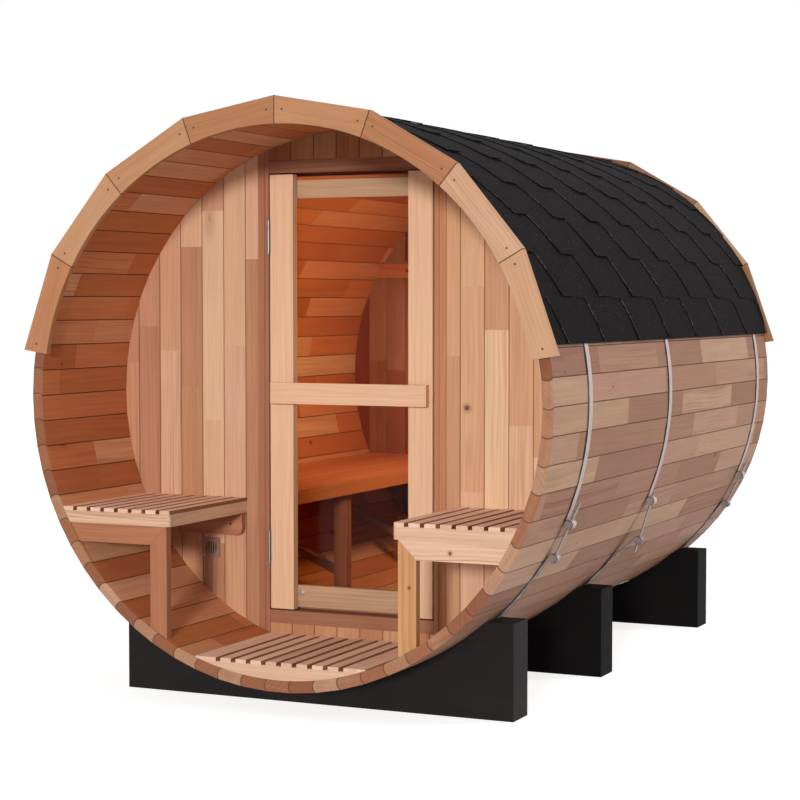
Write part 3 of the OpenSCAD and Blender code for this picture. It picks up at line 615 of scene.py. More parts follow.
def steel(name, colour, rough, brushed="y", metal=1.0, edge=None):
    """Metal with fine marks along one direction; edge, where given, is painted on the faces across the
    barrel, as painted shade along a strap's edges.
    """
    made, net = new_material(name)
    p = Place(net)
    scale = {"y": (500.0, 6.0, 500.0), "z": (500.0, 500.0, 6.0), "round": (40.0, 900.0, 40.0)}[brushed]
    stretched = net.node("ShaderNodeVectorMath", {0: p.point, 1: scale}, operation="MULTIPLY")
    marks = net.noise(stretched.outputs["Vector"], detail=3.0)
    spots = net.noise(p.point, scale=35.0, detail=3.0)
    base = net.tint(colour, net.grey(net.ramp(marks, 0.3, 0.7, 0.86, 1.0)))
    base = net.mix(net.ramp(spots, 0.55, 0.75, 0.0, 0.25), base, shift_tone(colour, 0.6))
    if edge:
        # The strap is painted darker and mottled towards the cradles
        mottled = net.ramp(net.noise(p.point, scale=55.0), 0.42, 0.58, 0.35, 1.0)
        strap_low_darkening = net.mul(net.ramp(p.h, -0.40, -0.54, 0.0, 0.95), mottled)
        base = net.mix(strap_low_darkening, base, colours().strap_low_darkening)
        # Painted shade: the edge faces across the barrel take the dark edge colour
        base = net.mix(p.on_end(), base, edge)
    finish_surface(net, {"Base Color": base, "Metallic": metal,
                         "Roughness": net.ramp(spots, 0.3, 0.8, rough, rough + 0.15)}, marks, 0.25, 0.0003)
    return made


def black_timber(name, colour, shine):
    """Black stain. The planks' grain runs across the barrel, so the ends show short upright streaks."""
    made, net = new_material(name)
    p = Place(net)
    fibre = net.noise(net.join(net.mul(p.x, 5.0), net.mul(p.y, 60.0), net.mul(p.z, 160.0)),
                      detail=5.0, rough=0.6)
    cloud = net.noise(p.point, scale=6.0, detail=3.0)
    level = net.add(net.ramp(fibre, 0.3, 0.75, 0.7, 1.35), net.ramp(cloud, 0.3, 0.7, -0.15, 0.2))
    finish_surface(net, {"Base Color": net.tint(colour, net.grey(level)),
                         "Roughness": net.ramp(fibre, 0.3, 0.8, 0.55, 0.75),
                         "Specular IOR Level": shine}, fibre, 0.6, 0.0008)
    return made


def shingle_material():
    """Charcoal mineral granules with scattered pale grains; each strip has its own tone."""
    made, net = new_material("shingle_granules")
    p = Place(net)
    palette = colours()
    strip = net.node("ShaderNodeAttribute", attribute_name="strip").outputs["Fac"]
    rim = net.node("ShaderNodeAttribute", attribute_name="rim").outputs["Fac"]
    grain = net.cells({"Vector": p.point, "Scale": 420.0})
    each = net.split(grain["Color"])
    # A painted highlight: pale grains crowd along the tabs' front edges, as if those edges caught the light
    sparkle_edge = net.mul(rim, net.ramp(net.noise(p.point, scale=13.0), 0.43, 0.51, 0.93, 1.0))
    bright = net.above(each[0], net.ramp(sparkle_edge, 0.95, 0.985, 0.9985, 0.66))
    patch = net.noise(p.point, scale=9.0, detail=4.0)
    level = net.add(net.ramp(each[1], 0.0, 1.0, 0.7, 1.3), net.ramp(patch, 0.3, 0.7, -0.12, 0.12))
    level = net.add(level, net.swing(strip, 0.3))
    base = net.tint(palette.shingle, net.grey(level))
    base = net.mix(net.mul(bright, 0.6), base, palette.pale_grain)
    # The cut lower edges are bare bitumen, painted near-black, which also stands in as painted shade under
    # the tabs' lips
    outward = net.absolute(net.add(net.mul(p.normal[0], p.x), net.mul(p.normal[2], p.h)))
    cut = net.mul(net.below(outward, 0.5), net.below(net.absolute(p.normal[1]), 0.75))
    base = net.mix(cut, base, (0.002, 0.002, 0.002))
    finish_surface(net, {"Base Color": base, "Roughness": net.ramp(each[2], 0.0, 1.0, 0.75, 0.95),
                         "Specular IOR Level": 0.08}, net.sub(1.0, grain["Distance"]), 0.7, 0.0009)
    return made


def clear_glass():
    """Clear glass that lets the lamps' light through to the room."""
    made, net = new_material("clear_glass")
    colour = colours().glass
    haze = net.noise(Place(net).point, scale=3.0)
    shader = net.node("ShaderNodeBsdfPrincipled", {
        "Base Color": colour, "Transmission Weight": 1.0, "IOR": 1.45,
        "Specular Tint": (0.12, 0.12, 0.12), "Roughness": net.ramp(haze, 0.3, 0.7, 0.0, 0.01)})
    clear = net.node("ShaderNodeBsdfTransparent", {"Color": colour})
    path = net.node("ShaderNodeLightPath").outputs
    lamp_ray = net.math("MAXIMUM", path["Is Shadow Ray"], path["Is Diffuse Ray"])
    finish_material(net, net.mix_shaders(lamp_ray, shader.outputs[0], clear.outputs[0]))
    return made


def vent_hole_shade_material():
    """A near-black sheet behind the vent's slots, as painted shade of the hollow behind them."""
    made, net = new_material("vent_screen")
    shader = net.node("ShaderNodeBsdfPrincipled", {"Base Color": (0.012, 0.008, 0.006), "Roughness": 0.9,
                                                   "Specular IOR Level": 0.1})
    finish_material(net, shader.outputs[0])
    return made


# Mesh helpers

def add_piece(name, bm, material, body="barrel", smooth=False):
    """Turns a bmesh into a piece that rides on a body."""
    mesh = bpy.data.meshes.new(name)
    bm.normal_update()
    bm.to_mesh(mesh)
    bm.free()
    mesh.materials.append(material)
    if smooth:
        mesh.shade_smooth()
    piece = bpy.data.objects.new(name, mesh)
    bpy.context.scene.collection.objects.link(piece)
    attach(piece, body)
    return piece


def turned(bm, profile, place, segments):
    """A closed turned form; profile lists (radius, height) from the axis at one end to the axis at the
    other, and place is a matrix that puts it."""
    rings = []
    for radius, height in profile:
        turns = [2 * math.pi * k / segments for k in range(segments if radius else 1)]
        rings.append([bm.verts.new(place @ Vector((radius * math.cos(a), radius * math.sin(a), height)))
                      for a in turns])
    for low, high in zip(rings, rings[1:]):
        for k in range(segments):
            n = (k + 1) % segments
            if len(low) == 1:
                bm.faces.new((low[0], high[n], high[k]))
            elif len(high) == 1:
                bm.faces.new((low[k], low[n], high[0]))
            else:
                bm.faces.new((low[k], low[n], high[n], high[k]))


def add_heads(name, spots, profile, material, body="barrel", segments=12):
    """Heads of nails, screws or bolts as one piece, on faces across the barrel. spots lists (x, y, z, way)
    with way -1 for a face to the front and 1 for one to the back."""
    bm = bmesh.new()
    for x, y, z, way in spots:
        turn = Matrix(((-way, 0, 0), (0, 0, 1), (0, way, 0))).transposed().to_4x4()
        turned(bm, profile, Matrix.Translation((x, y, z)) @ turn, segments)
    add_piece(name, bm, material, body, smooth=True)


def nail_profile(r):
    return [(0, -0.003), (r * 0.5, -0.003), (r * 0.9, -0.0005), (r, 0.0001), (r * 0.8, 0.0004), (0, 0.0005)]


def screw_profile(r):
    """A countersunk head with a small socket."""
    return [(0, -0.004), (r * 0.45, -0.004), (r * 0.95, -0.0004), (r, 0.0004), (r * 0.9, 0.0008),
            (r * 0.5, 0.0010), (r * 0.42, 0.0009), (r * 0.36, -0.0008), (0, -0.0011)]


def bolt_profile(r):
    """A round cap over a washer."""
    return [(0, -0.003), (r * 0.9, -0.003), (r, -0.0006), (r, 0.0010), (r * 0.86, 0.0014), (r * 0.80, 0.0016),
            (r * 0.74, 0.0030), (r * 0.60, 0.0046), (r * 0.36, 0.0055), (0, 0.0058)]


def plate(bm, low, high):
    """A thin sheet across the barrel between two corners."""
    corners = [bm.verts.new((x, y, z)) for y in (low[1], high[1])
               for x, z in ((low[0], low[2]), (high[0], low[2]), (high[0], high[2]), (low[0], high[2]))]
    for f in ((0, 1, 2, 3), (7, 6, 5, 4), (0, 4, 5, 1), (1, 5, 6, 2), (2, 6, 7, 3), (3, 7, 4, 0)):
        bm.faces.new([corners[k] for k in f])


# Operators

class SaunaOperator:
    bl_options = {"REGISTER", "UNDO"}


class SAUNA_OT_staves(SaunaOperator, bpy.types.Operator):
    """Gives the staves their finger-jointed cedar, warmer in the porch and the room, darker at the ends"""
    bl_idname = "sauna.staves"
    bl_label = "Staves"

    def execute(self, context):
        palette = colours()

        def inner_face(net, spot):
            return net.below(net.length(spot.x, spot.h), STAVE_R - STAVE_T + 0.0025)

        def spread(net, spot):
            return net.mixf(inner_face(net, spot), 1.0, 1.2)

        def parts(net, spot):
            inner = inner_face(net, spot)
            inside = net.mul(net.above(spot.y, WALL_Y + WALL_T), net.below(spot.y, BACK_WALL_Y))
            tone = net.mix(inner, palette.stave, net.mix(inside, palette.porch, palette.room))
            # A painted shadow: a dark line on the staves along the front edge of each hoop, broken where the
            # staves crown
            broken = net.ramp(net.noise(spot.point, scale=30.0, detail=1.0), 0.35, 0.55, 0.45, 0.95)
            outside = net.sub(1.0, inner)
            for hoop in HOOPS:
                edge = span(hoop, 1)[0]
                before = net.mul(net.above(spot.y, edge - 0.010), net.below(spot.y, edge + 0.004))
                tone = net.mix(net.mul(net.mul(before, outside), broken), tone, (0.018, 0.012, 0.010))
            return net.mix(spot.on_end(), tone, palette.stave_end)

        give(cedar("stave_cedar", place_staves, palette.stave, segment=sizes().stave_segment, knots=0.07,
                   spread=spread, grain=0.8, line=0.0012, line_depth=0.8, parts=parts,
                   marks=[("yh", 0.603, -0.264, 0.009), ("yh", -0.688, 0.039, 0.004),
                          ("yh", -0.671, -0.459, 0.004), ("yh", -1.114, 0.099, 0.004)]),
             "floor_staves", "left_wall_staves", "right_wall_staves", "roof_staves")
        return {"FINISHED"}


class SAUNA_OT_walls(SaunaOperator, bpy.types.Operator):
    """Gives the upright boards of both walls their cedar, warmer on the room's side"""
    bl_idname = "sauna.walls"
    bl_label = "Walls"

    def execute(self, context):
        palette = colours()
        seg = sizes().board_segment
        left = shift_tone(palette.wall, (0.87, 0.82, 0.81))

        def room_side(facing_y, inner, outer=palette.wall):
            def parts(net, spot):
                return net.mix(net.above(net.mul(spot.normal[1], facing_y), 0.5), outer, inner)
            return parts

        give(cedar("left_wall_cedar", place_wall_sides, left, segment=seg, spread=1.25, knots=0.08, grain=0.9,
                   parts=room_side(1.0, palette.room, left)), "front_wall_left")
        give(cedar("right_wall_cedar", place_wall_sides, palette.wall, segment=seg, spread=1.25, knots=0.08,
                   grain=0.9, parts=room_side(1.0, palette.room), marks=[("xh", 0.417, -0.036, 0.010)]),
             "front_wall_right")
        # The head board's darker colour is painted shade under the roof's ring
        give(cedar("head_board_cedar", place_wall_middle, palette.head_board, segment=seg, spread=0.6),
             "front_wall_head")
        give(cedar("foot_board_cedar", place_wall_middle, palette.foot_board, segment=seg, spread=0.6),
             "front_wall_foot")
        # The room's side of the back wall takes the darker back-wall colour, as painted shade
        give(cedar("back_wall_cedar", place_back_wall, palette.wall, segment=seg, spread=0.95,
                   parts=room_side(-1.0, palette.back_wall)), "back_wall")
        give(cedar("batten_cedar", place_level(100.0), palette.room, segment=3.0, spread=0.5),
             "back_wall_batten")
        return {"FINISHED"}


class SAUNA_OT_fascia(SaunaOperator, bpy.types.Operator):
    """Gives the fascia boards their cedar and their nails"""
    bl_idname = "sauna.fascia"
    bl_label = "Fascia"

    def execute(self, context):
        palette = colours()
        give(cedar("fascia_cedar", place_fascia, palette.fascia, knots=0.02, line=0.0012, line_depth=0.9),
             "front_fascia")
        # Painted shade: the back fascia is painted darker than the front one
        give(cedar("back_fascia_cedar", place_fascia, shift_tone(palette.fascia, 0.6), line=0.0012,
                   line_depth=0.9), "back_fascia")
        front, back = span("front_fascia", 1)[0], span("back_fascia", 1)[1]
        spots = []
        for board in range(-FASCIA_HALF, FASCIA_HALF):
            for share in NAIL_SHARES:
                angle = (board + share) * FASCIA_STEP
                x, z = FASCIA_MIDDLE * math.sin(angle), AXIS_Z + FASCIA_MIDDLE * math.cos(angle)
                spots += [(x, front, z, -1), (x, back, z, 1)]
        add_heads("fascia_nails", spots, nail_profile(sizes().nail_r),
                  steel("nail_steel", palette.nail, 0.45))
        return {"FINISHED"}


class Roofing:
    """Lays shingles round the roof's circle into one mesh. s is the distance round the roof, upwards from
    its lower edge, and an angle is measured from the ridge."""
    TAB_STEPS = 4
    STARTER_STEPS = 8
    STARTER_SHIFT = 0.140
    COURSE_SHIFT = 0.195
    SHIFT_EACH = 0.150
    TAB_JITTER = 0.005
    LIP_LIFTS = (0.0004, 0.0034)
    LEAST_WIDTH = 0.002
    LEAST_TIP = 0.0002
    LAP = 0.006
    UNDER_CAP = 0.02
    CAP_STEPS = 8
    CAP_LENGTH = 0.305
    CAP_BACK_LIFT = 0.45
    CAP_CLEARANCE = 0.0005

    def __init__(self):
        self.bm = bmesh.new()
        self.strip_tone = self.bm.verts.layers.float.new("strip")
        self.rim = self.bm.verts.layers.float.new("rim")
        self.draw = random.Random(5)
        self.size = sizes()
        self.exposure = self.size.exposure
        self.thick = self.size.shingle_t
        self.cover = 2 * self.exposure + self.LAP
        self.arc = ROOF_R * ROOF_HALF

    def course_starts(self):
        """Where each course begins."""
        under_cap = self.arc - self.size.ridge_cap / 2
        count = int(under_cap // self.exposure)
        return [0.0] + [under_cap - (count - i) * self.exposure for i in range(1, count)]

    def vertex(self, angle, y, r, tone, edge=0.0):
        made = self.bm.verts.new((r * math.sin(angle), y, AXIS_Z + r * math.cos(angle)))
        made[self.strip_tone] = tone
        made[self.rim] = edge
        return made

    def sheet(self, rows, tone, edge=0.0, flip=False):
        """A closed sheet. Each row has its angle, its two ends along the barrel, the outer radius at each
        end, and the inner radius. edge is 1 along the sheet's front edge, where pale grains are painted thick
        as a painted highlight."""
        rings = [(self.vertex(angle, y0, r0, tone, edge), self.vertex(angle, y1, r1, tone),
                  self.vertex(angle, y0, inner, tone), self.vertex(angle, y1, inner, tone))
                 for angle, y0, y1, r0, r1, inner in rows]
        faces = []
        for (a0, a1, c0, c1), (b0, b1, d0, d1) in zip(rings, rings[1:]):
            faces += [(a0, a1, b1, b0), (c0, d0, d1, c1), (a0, b0, d0, c0), (a1, c1, d1, b1)]
        a0, a1, c0, c1 = rings[0]
        b0, b1, d0, d1 = rings[-1]
        faces += [(a0, c0, c1, a1), (b0, b1, d1, d0)]
        for face in faces:
            self.bm.faces.new(tuple(reversed(face)) if flip else face)

    def patch(self, side, rows, start, tone, lift=0.0, edge=0.0):
        """A sheet on one side of the roof that belongs to the course begun at start. rows: (s, y, y).
        It lies on the courses below it, so it sinks towards its upper edge, and its tab's lip is lifted."""
        laid = []
        for s, y0, y1 in rows:
            up = s - start
            lip = 1 - min(max(up, 0.0), self.exposure) / self.exposure
            r = (ROOF_R + self.thick + 2 * self.thick * (1 - min(up, self.cover) / self.cover)
                 + lift * lip ** 3)
            laid.append((side * (ROOF_HALF - s / ROOF_R), y0, y1, r, r, r - self.thick))
        self.sheet(laid, tone, edge, side < 0)

    def starter(self, side):
        """The plain strip under the lowest course"""
        reach = self.exposure * 1.2
        rows = [(reach * k / self.STARTER_STEPS, FRONT_Y, BACK_Y) for k in range(self.STARTER_STEPS + 1)]
        self.patch(side, rows, -self.exposure, self.draw.random())

    def tab(self, side, start, left, tone, lift):
        """A tab that is narrow at its lip and widens upwards, cut off at the roof's two ends."""
        rows = []
        for k in range(self.TAB_STEPS + 1):
            share = k / self.TAB_STEPS
            y0 = left - self.size.tab_slope * share
            y1 = left + self.size.tab_flat + self.size.tab_slope * share
            rows.append((start + self.exposure * share, max(FRONT_Y, min(BACK_Y, y0)),
                         max(FRONT_Y, min(BACK_Y, y1))))
        if rows[-1][2] - rows[-1][1] > self.LEAST_WIDTH:
            rows = [(s, y0, max(y1, y0 + self.LEAST_TIP)) for s, y0, y1 in rows]
            self.patch(side, rows, start, tone, lift, 1.0)

    def course(self, side, number, start):
        """Tabs in strips of three, and over each tab the part of the strip that has no slots."""
        pitch, flat, slope = self.size.tab_pitch, self.size.tab_flat, self.size.tab_slope
        shown = start + self.exposure
        top = min(start + self.cover, self.arc - self.UNDER_CAP)
        rise = (top - start - self.exposure) / self.TAB_STEPS
        high = [shown + rise * k for k in range(self.TAB_STEPS + 1)]
        shift = self.COURSE_SHIFT + self.SHIFT_EACH * (number - 1) if number else self.STARTER_SHIFT
        first = FRONT_Y + shift - 4 * pitch
        reach = slope + (pitch - flat - 2 * slope) / 2
        strip_of = {}
        for t in range(int((BACK_Y - first) / pitch) + 2):
            place = first + t * pitch
            left = place + self.draw.uniform(-self.TAB_JITTER, self.TAB_JITTER)
            lift = self.draw.uniform(*self.LIP_LIFTS)
            tone = strip_of.setdefault((t + number) // 3, self.draw.random())
            self.tab(side, start, left, tone, lift)
            y0 = max(FRONT_Y, place - reach)
            y1 = min(BACK_Y, y0 + pitch if y0 > FRONT_Y else place + flat + reach)
            if y1 - y0 > self.LEAST_WIDTH and top > shown + 0.01:
                self.patch(side, [(s, y0, y1) for s in high], start, tone)

    def ridge_cap(self):
        """Pieces lapped along the ridge, each higher at its front end."""
        half = self.size.ridge_cap / 2
        angles = [(-half + 2 * half * k / self.CAP_STEPS) / ROOF_R for k in range(self.CAP_STEPS + 1)]
        front_r, back_r = ROOF_R + 3 * self.thick, ROOF_R + 3 * self.thick * self.CAP_BACK_LIFT
        y = FRONT_Y
        while y < BACK_Y - 0.01:
            end = min(y + self.CAP_LENGTH, BACK_Y)
            rows = [(angle, y, end, front_r, back_r, ROOF_R + self.CAP_CLEARANCE) for angle in angles]
            self.sheet(rows, self.draw.random(), flip=True)
            y = end


class SAUNA_OT_roof(SaunaOperator, bpy.types.Operator):
    """Lays the shingles in courses, each strip with its three tabs, and the cap along the ridge"""
    bl_idname = "sauna.roof"
    bl_label = "Shingled roof"

    def execute(self, context):
        roofing = Roofing()
        for side in (1, -1):
            for number, start in enumerate(roofing.course_starts()):
                if number == 0:
                    roofing.starter(side)
                roofing.course(side, number, start)
        roofing.ridge_cap()
        piece = add_piece("roof_shingle_courses", roofing.bm, shingle_material())
        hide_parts("roof_shingles")
        return {"FINISHED"}


class SAUNA_OT_hoops(SaunaOperator, bpy.types.Operator):
    """Gives the hoops and their nuts and rods their steel"""
    bl_idname = "sauna.hoops"
    bl_label = "Hoops"

    def execute(self, context):
        palette = colours()
        # The straps' edge faces are painted dark, as painted shade
        give(steel("strap_steel", palette.strap, 0.5, "round", metal=0.35, edge=palette.strap_edge_shade), *HOOPS)
        give(steel("zinc", palette.zinc, 0.24, metal=0.85), "hoop_tensioners")
        return {"FINISHED"}


class SAUNA_OT_door(SaunaOperator, bpy.types.Operator):
    """Gives the door and its frame their cedar, glass and hinges"""
    bl_idname = "sauna.door"
    bl_label = "Door"

    def execute(self, context):
        palette = colours()
        red = palette.frame_red
        _, leaf_top = span("door_back_frame", 2)
        rail_y, _ = span("door_back_frame", 1)

        def two_jambs(net, spot):
            """The jambs are given two tones, the hinge side's the darker"""
            return net.mix(net.above(spot.x, 0.0), shift_tone(red, 0.88), shift_tone(red, (1.24, 1.30, 1.22)))

        def leaf_tones(net, spot):
            """The rebate along the top edge is red like the door frame"""
            return net.mix(net.above(spot.z, leaf_top - LEAF_REBATE), palette.leaf_frame, palette.leaf_rebate)

        give(cedar("jamb_cedar", place_jamb, red, spread=0.3, knots=0.02, parts=two_jambs),
             "door_jamb_left", "door_jamb_right")
        # Painted shade: the door head is given a much darker tone for the shade under the roof's ring
        give(cedar("head_cedar", place_level(210.0), shift_tone(red, (0.50, 0.35, 0.27)), spread=0.3,
                   knots=0.02), "door_head")
        give(cedar("sill_cedar", place_level(210.0), shift_tone(red, 0.74), spread=0.3, knots=0.02),
             "door_sill")
        give(cedar("stile_cedar", place_upright(220.0), palette.leaf, spread=0.15, knots=0.02, grain=0.35),
             "door_stile_left", "door_stile_right")
        give(cedar("bar_cedar", place_level(230.0), palette.leaf, spread=0.1, knots=0.0, grain=0.35),
             "door_bar")
        give(cedar("leaf_frame_cedar", place_leaf_frame, palette.leaf, spread=0.2, knots=0.0,
                   parts=leaf_tones), "door_back_frame")
        give(clear_glass(), "door_glass")
        give(steel("hinge_steel", palette.hinge, 0.35, "z"), "hinge_jamb_halves", "hinge_door_halves")
        add_heads("door_bolt", [(BOLT_X, rail_y, BOLT_Z, -1)], bolt_profile(sizes().bolt_r),
                  steel("bolt_steel", palette.bolt, 0.35, "z", metal=0.2), body="door", segments=20)
        return {"FINISHED"}


class SAUNA_OT_porch(SaunaOperator, bpy.types.Operator):
    """Gives the deck, the seats, the cleats and the vent their cedar and screws"""
    bl_idname = "sauna.porch"
    bl_label = "Porch"

    def execute(self, context):
        palette = colours()

        def lit_tops_shaded_sides(shade):
            """Painted light and shade: the slats' tops are painted paler, as light from above, and their
            sides darker, as painted shade; the other faces keep the plain colour
            """
            def parts(net, spot):
                side = net.above(net.absolute(spot.normal[0]), 0.7)
                top = net.above(spot.normal[2], 0.7)
                lit_top = net.mix(top, palette.deck, shift_tone(palette.deck, (1.22, 1.28, 1.36)))
                return net.mix(side, lit_top, shift_tone(palette.deck, shade))
            return parts

        def rail_and_leg(net, spot):
            return net.mix(spot.past_mitre(), palette.seat_frame, palette.apron)

        # The slats' tops are painted paler and their sides darker: painted light and shade
        give(cedar("deck_cedar", place_slats(DECK_PITCH, 0.0, 150.0), palette.deck, spread=0.8,
                   parts=lit_tops_shaded_sides((0.52, 0.36, 0.27))), "deck_slats")
        give(cedar("bearer_cedar", place_level(180.0), palette.apron, spread=0.2, knots=0.4), "deck_bearers")
        give(cedar("seat_cedar", place_slats(SEAT_PITCH, SEAT_X, 170.0), palette.deck, spread=0.8,
                   parts=lit_tops_shaded_sides((0.40, 0.27, 0.20))), "left_seat_slats", "right_seat_slats")
        give(cedar("apron_cedar", place_apron, palette.apron, spread=0.25),
             "left_seat_apron", "right_seat_apron")
        give(cedar("seat_frame_cedar", place_seat_frame, palette.seat_frame, spread=0.3, knots=0.3,
                   parts=rail_and_leg, marks=[("xh", 0.573, -0.441, 0.006), ("xh", 0.440, -0.551, 0.005)]),
             "right_seat_frame")
        give(cedar("left_frame_cedar", place_seat_frame, palette.left_frame, spread=0.3), "left_seat_frame")
        give(cedar("cleat_cedar", place_level(300.0), palette.cleat, spread=0.3), "seat_cleats")
        give(cedar("vent_cedar", place_level(310.0), palette.vent, spread=0.1, knots=0.0, grain=0.3),
             "vent_grille")
        cleat_y, _ = span("seat_cleats", 1)
        add_heads("cleat_screws", [(side * CLEAT_SCREW_X, cleat_y, CLEAT_SCREW_Z, -1) for side in (-1, 1)],
                  screw_profile(sizes().screw_r),
                  steel("dark_screw_steel", palette.dark_screw, 0.5, "z", metal=0.6))
        low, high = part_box("vent_grille")
        bm = bmesh.new()
        plate(bm, (low[0] + VENT_INSET, high[1] - 0.0006, low[2] + VENT_INSET),
              (high[0] - VENT_INSET, high[1] - 0.0001, high[2] - VENT_INSET))
        # Painted shade: a near-black sheet behind the slots
        add_piece("vent_screen", bm, vent_hole_shade_material())
        add_heads("vent_screw", [(low[0] + VENT_SCREW_IN, low[1], low[2] + VENT_SCREW_IN, -1)],
                  screw_profile(VENT_SCREW_R), steel("pale_screw_steel", palette.pale_screw, 0.35, "z"))
        return {"FINISHED"}


class SAUNA_OT_room(SaunaOperator, bpy.types.Operator):
    """Gives the bench inside its cedar and the batten its screws"""
    bl_idname = "sauna.room"
    bl_label = "Room"

    def execute(self, context):
        palette = colours()
        one_board = place_slats(5.0, 0.0, 335.0)
        give(cedar("bench_cedar", place_bench_top, palette.room, spread=0.3), "bench_top")
        give(cedar("bench_apron_cedar", one_board, palette.room, spread=0.1), "bench_apron")
        give(cedar("bench_leg_cedar", place_bench_legs, palette.bench_leg, spread=0.2), "bench_legs")
        front, _ = span("back_wall_batten", 1)
        middle_z = sum(span("back_wall_batten", 2)) / 2
        add_heads("batten_screws", [(x, front, middle_z, -1) for x in BATTEN_SCREW_X],
                  screw_profile(BATTEN_SCREW_R),
                  steel("batten_screw_steel", palette.batten_screw, 0.6, "z", metal=0.2))
        return {"FINISHED"}


class SAUNA_OT_cradles(SaunaOperator, bpy.types.Operator):
    """Gives the cradles their black stain, and the middle and rear ones painted shade as well"""
    bl_idname = "sauna.cradles"
    bl_label = "Cradles"

    def execute(self, context):
        stain = colours().timber
        give(black_timber("black_timber", stain, 0.12), "front_cradle")
        # The middle and rear cradles are painted much darker and duller than the front one, as painted shade
        # under the barrel
        give(black_timber("black_timber_deep", shift_tone(stain, 0.3), 0.05), "middle_cradle", "rear_cradle")
        return {"FINISHED"}


CAMERA_AT = (2.92396, -6.68885, 1.27976)
CAMERA_PITCH = -0.0482045
CAMERA_YAW = 0.4305355
CAMERA_FOCAL_PX = 2021.54
PHOTO_PX = 800


def add_lamp(name, kind, place, turn, **settings):
    data = bpy.data.lights.new(name, kind)
    for key, value in settings.items():
        setattr(data, key, value)
    made = bpy.data.objects.new(name, data)
    made.location = place
    made.rotation_euler = turn
    bpy.context.scene.collection.objects.link(made)
    return made


def add_sun(name, azimuth, elevation, strength, softness):
    """A distant light from an azimuth, 0 in front and positive to the right, and an elevation."""
    a, e = math.radians(azimuth), math.radians(elevation)
    away = Vector((math.sin(a) * math.cos(e), -math.cos(a) * math.cos(e), math.sin(e)))
    add_lamp(name, "SUN", away * 5, away.to_track_quat("Z", "Y").to_euler(), energy=strength,
             angle=math.radians(softness))


def add_floor(white):
    """A white floor that keeps a light shadow where it is seen directly; in glass and metal it is white."""
    reach = 30.0
    mesh = bpy.data.meshes.new("floor")
    mesh.from_pydata([(-reach, -reach, 0), (reach, -reach, 0), (reach, reach, 0), (-reach, reach, 0)], [],
                     [(0, 1, 2, 3)])
    floor = bpy.data.objects.new("floor", mesh)
    bpy.context.scene.collection.objects.link(floor)
    made, net = new_material("floor")
    path = net.node("ShaderNodeLightPath").outputs
    plain = net.node("ShaderNodeEmission", {"Color": white, "Strength": 1.0})
    glow = net.node("ShaderNodeEmission", {"Color": white, "Strength": 0.80})
    soft = net.node("ShaderNodeBsdfDiffuse", {"Color": (0.45, 0.45, 0.45)})
    pale = net.node("ShaderNodeBsdfDiffuse", {"Color": srgb(226, 226, 226)})
    lit = net.node("ShaderNodeAddShader", {0: glow.outputs[0], 1: soft.outputs[0]})
    direct = net.mix_shaders(path["Is Camera Ray"], pale.outputs[0], lit.outputs[0])
    mirrored = net.math("MAXIMUM", path["Is Glossy Ray"], path["Is Transmission Ray"])
    finish_material(net, net.mix_shaders(mirrored, direct, plain.outputs[0]))
    mesh.materials.append(made)


def add_sky(white, strength):
    """An even light that is stronger from above, behind a backdrop that looks white."""
    world = bpy.data.worlds.new("studio")
    bpy.context.scene.world = world
    world.use_nodes = True
    world.node_tree.nodes.clear()
    net = Net(world.node_tree)
    path = net.node("ShaderNodeLightPath").outputs
    up = net.split(net.node("ShaderNodeTexCoord").outputs["Generated"])[2]
    plain = net.node("ShaderNodeBackground", {
        "Color": (1.0, 0.99, 0.98), "Strength": net.ramp(up, 0.0, 1.0, strength * 0.40, strength * 2.1)})
    shown = net.node("ShaderNodeBackground", {"Color": white, "Strength": 1.0})
    mirrored = net.math("MAXIMUM", path["Is Glossy Ray"], path["Is Transmission Ray"])
    seen = net.math("MAXIMUM", path["Is Camera Ray"], mirrored)
    net.node("ShaderNodeOutputWorld", {0: net.mix_shaders(seen, plain.outputs[0], shown.outputs[0])})


def add_camera():
    data = bpy.data.cameras.new("camera")
    data.sensor_fit = "HORIZONTAL"
    data.sensor_width = 36.0
    data.lens = CAMERA_FOCAL_PX / PHOTO_PX * data.sensor_width
    data.clip_end = 100.0
    camera = bpy.data.objects.new("camera", data)
    camera.location = CAMERA_AT
    camera.rotation_euler = (math.pi / 2 + CAMERA_PITCH, 0.0, CAMERA_YAW)
    bpy.context.scene.collection.objects.link(camera)
    bpy.context.scene.camera = camera


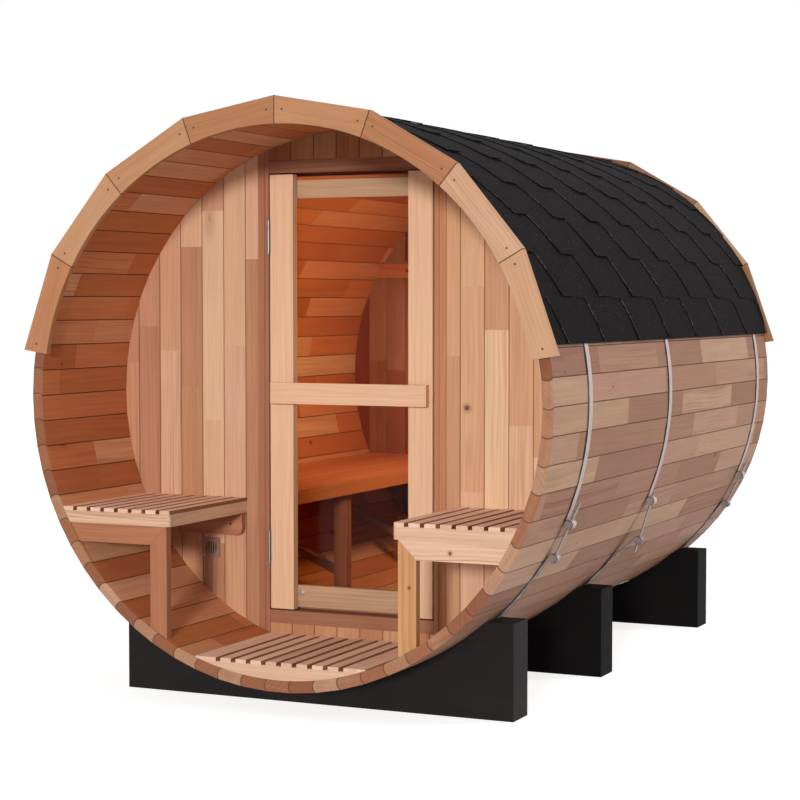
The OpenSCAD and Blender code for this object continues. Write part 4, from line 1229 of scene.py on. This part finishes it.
class SAUNA_OT_stage(SaunaOperator, bpy.types.Operator):
    """Sets up the floor, the backdrop, the lamps and the camera"""
    bl_idname = "sauna.stage"
    bl_label = "Stage"

    def execute(self, context):
        stage = bpy.context.scene.sauna_stage
        white = tuple(stage.floor)
        bpy.context.scene.view_settings.view_transform = "Standard"
        add_floor(white)
        add_sky(white, stage.world)
        add_sun("key", 13, 10, stage.key, 7)
        add_sun("side", 124, 24, stage.fill, 10)
        # On the right inside, out of sight, so that it lights the bench and the staves behind it
        at = Vector((0.55, 0.10, AXIS_Z + 0.50))
        aim = Vector((-0.95, 0.12, -0.36))
        room = add_lamp("room", "AREA", at, aim.to_track_quat("-Z", "Y").to_euler(), energy=stage.room,
                        shape="RECTANGLE", size=0.9, size_y=0.3, spread=math.radians(115),
                        color=(1.0, 0.78, 0.42))
        room.visible_camera = room.visible_glossy = room.visible_transmission = False
        add_camera()
        return {"FINISHED"}


OPERATORS = (SAUNA_OT_stage, SAUNA_OT_staves, SAUNA_OT_walls, SAUNA_OT_fascia, SAUNA_OT_roof, SAUNA_OT_hoops,
             SAUNA_OT_door, SAUNA_OT_porch, SAUNA_OT_room, SAUNA_OT_cradles)


class SAUNA_PT_panel(bpy.types.Panel):
    """Lists the pieces of the sauna with their colours and sizes"""
    bl_label = "Barrel Sauna"
    bl_idname = "SAUNA_PT_panel"
    bl_space_type = "VIEW_3D"
    bl_region_type = "UI"
    bl_category = "Sauna"

    def draw(self, context):
        for group in (context.scene.sauna_sizes, context.scene.sauna_colours, context.scene.sauna_stage):
            box = self.layout.box()
            for key in group.__annotations__:
                box.prop(group, key)
        for operator in OPERATORS:
            self.layout.operator(operator.bl_idname)


CLASSES = (SaunaColours, SaunaSizes, SaunaStage, *OPERATORS, SAUNA_PT_panel)


def register():
    for made in CLASSES:
        bpy.utils.register_class(made)
    bpy.types.Scene.sauna_colours = bpy.props.PointerProperty(type=SaunaColours)
    bpy.types.Scene.sauna_sizes = bpy.props.PointerProperty(type=SaunaSizes)
    bpy.types.Scene.sauna_stage = bpy.props.PointerProperty(type=SaunaStage)


def unregister():
    del bpy.types.Scene.sauna_stage
    del bpy.types.Scene.sauna_sizes
    del bpy.types.Scene.sauna_colours
    for made in reversed(CLASSES):
        bpy.utils.unregister_class(made)


def main():
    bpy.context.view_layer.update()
    register()
    make_cedar_group()
    for operator in OPERATORS:
        area, name = operator.bl_idname.split(".")
        getattr(getattr(bpy.ops, area), name)()
    bpy.context.view_layer.update()


if __name__ == "__main__":
    main()
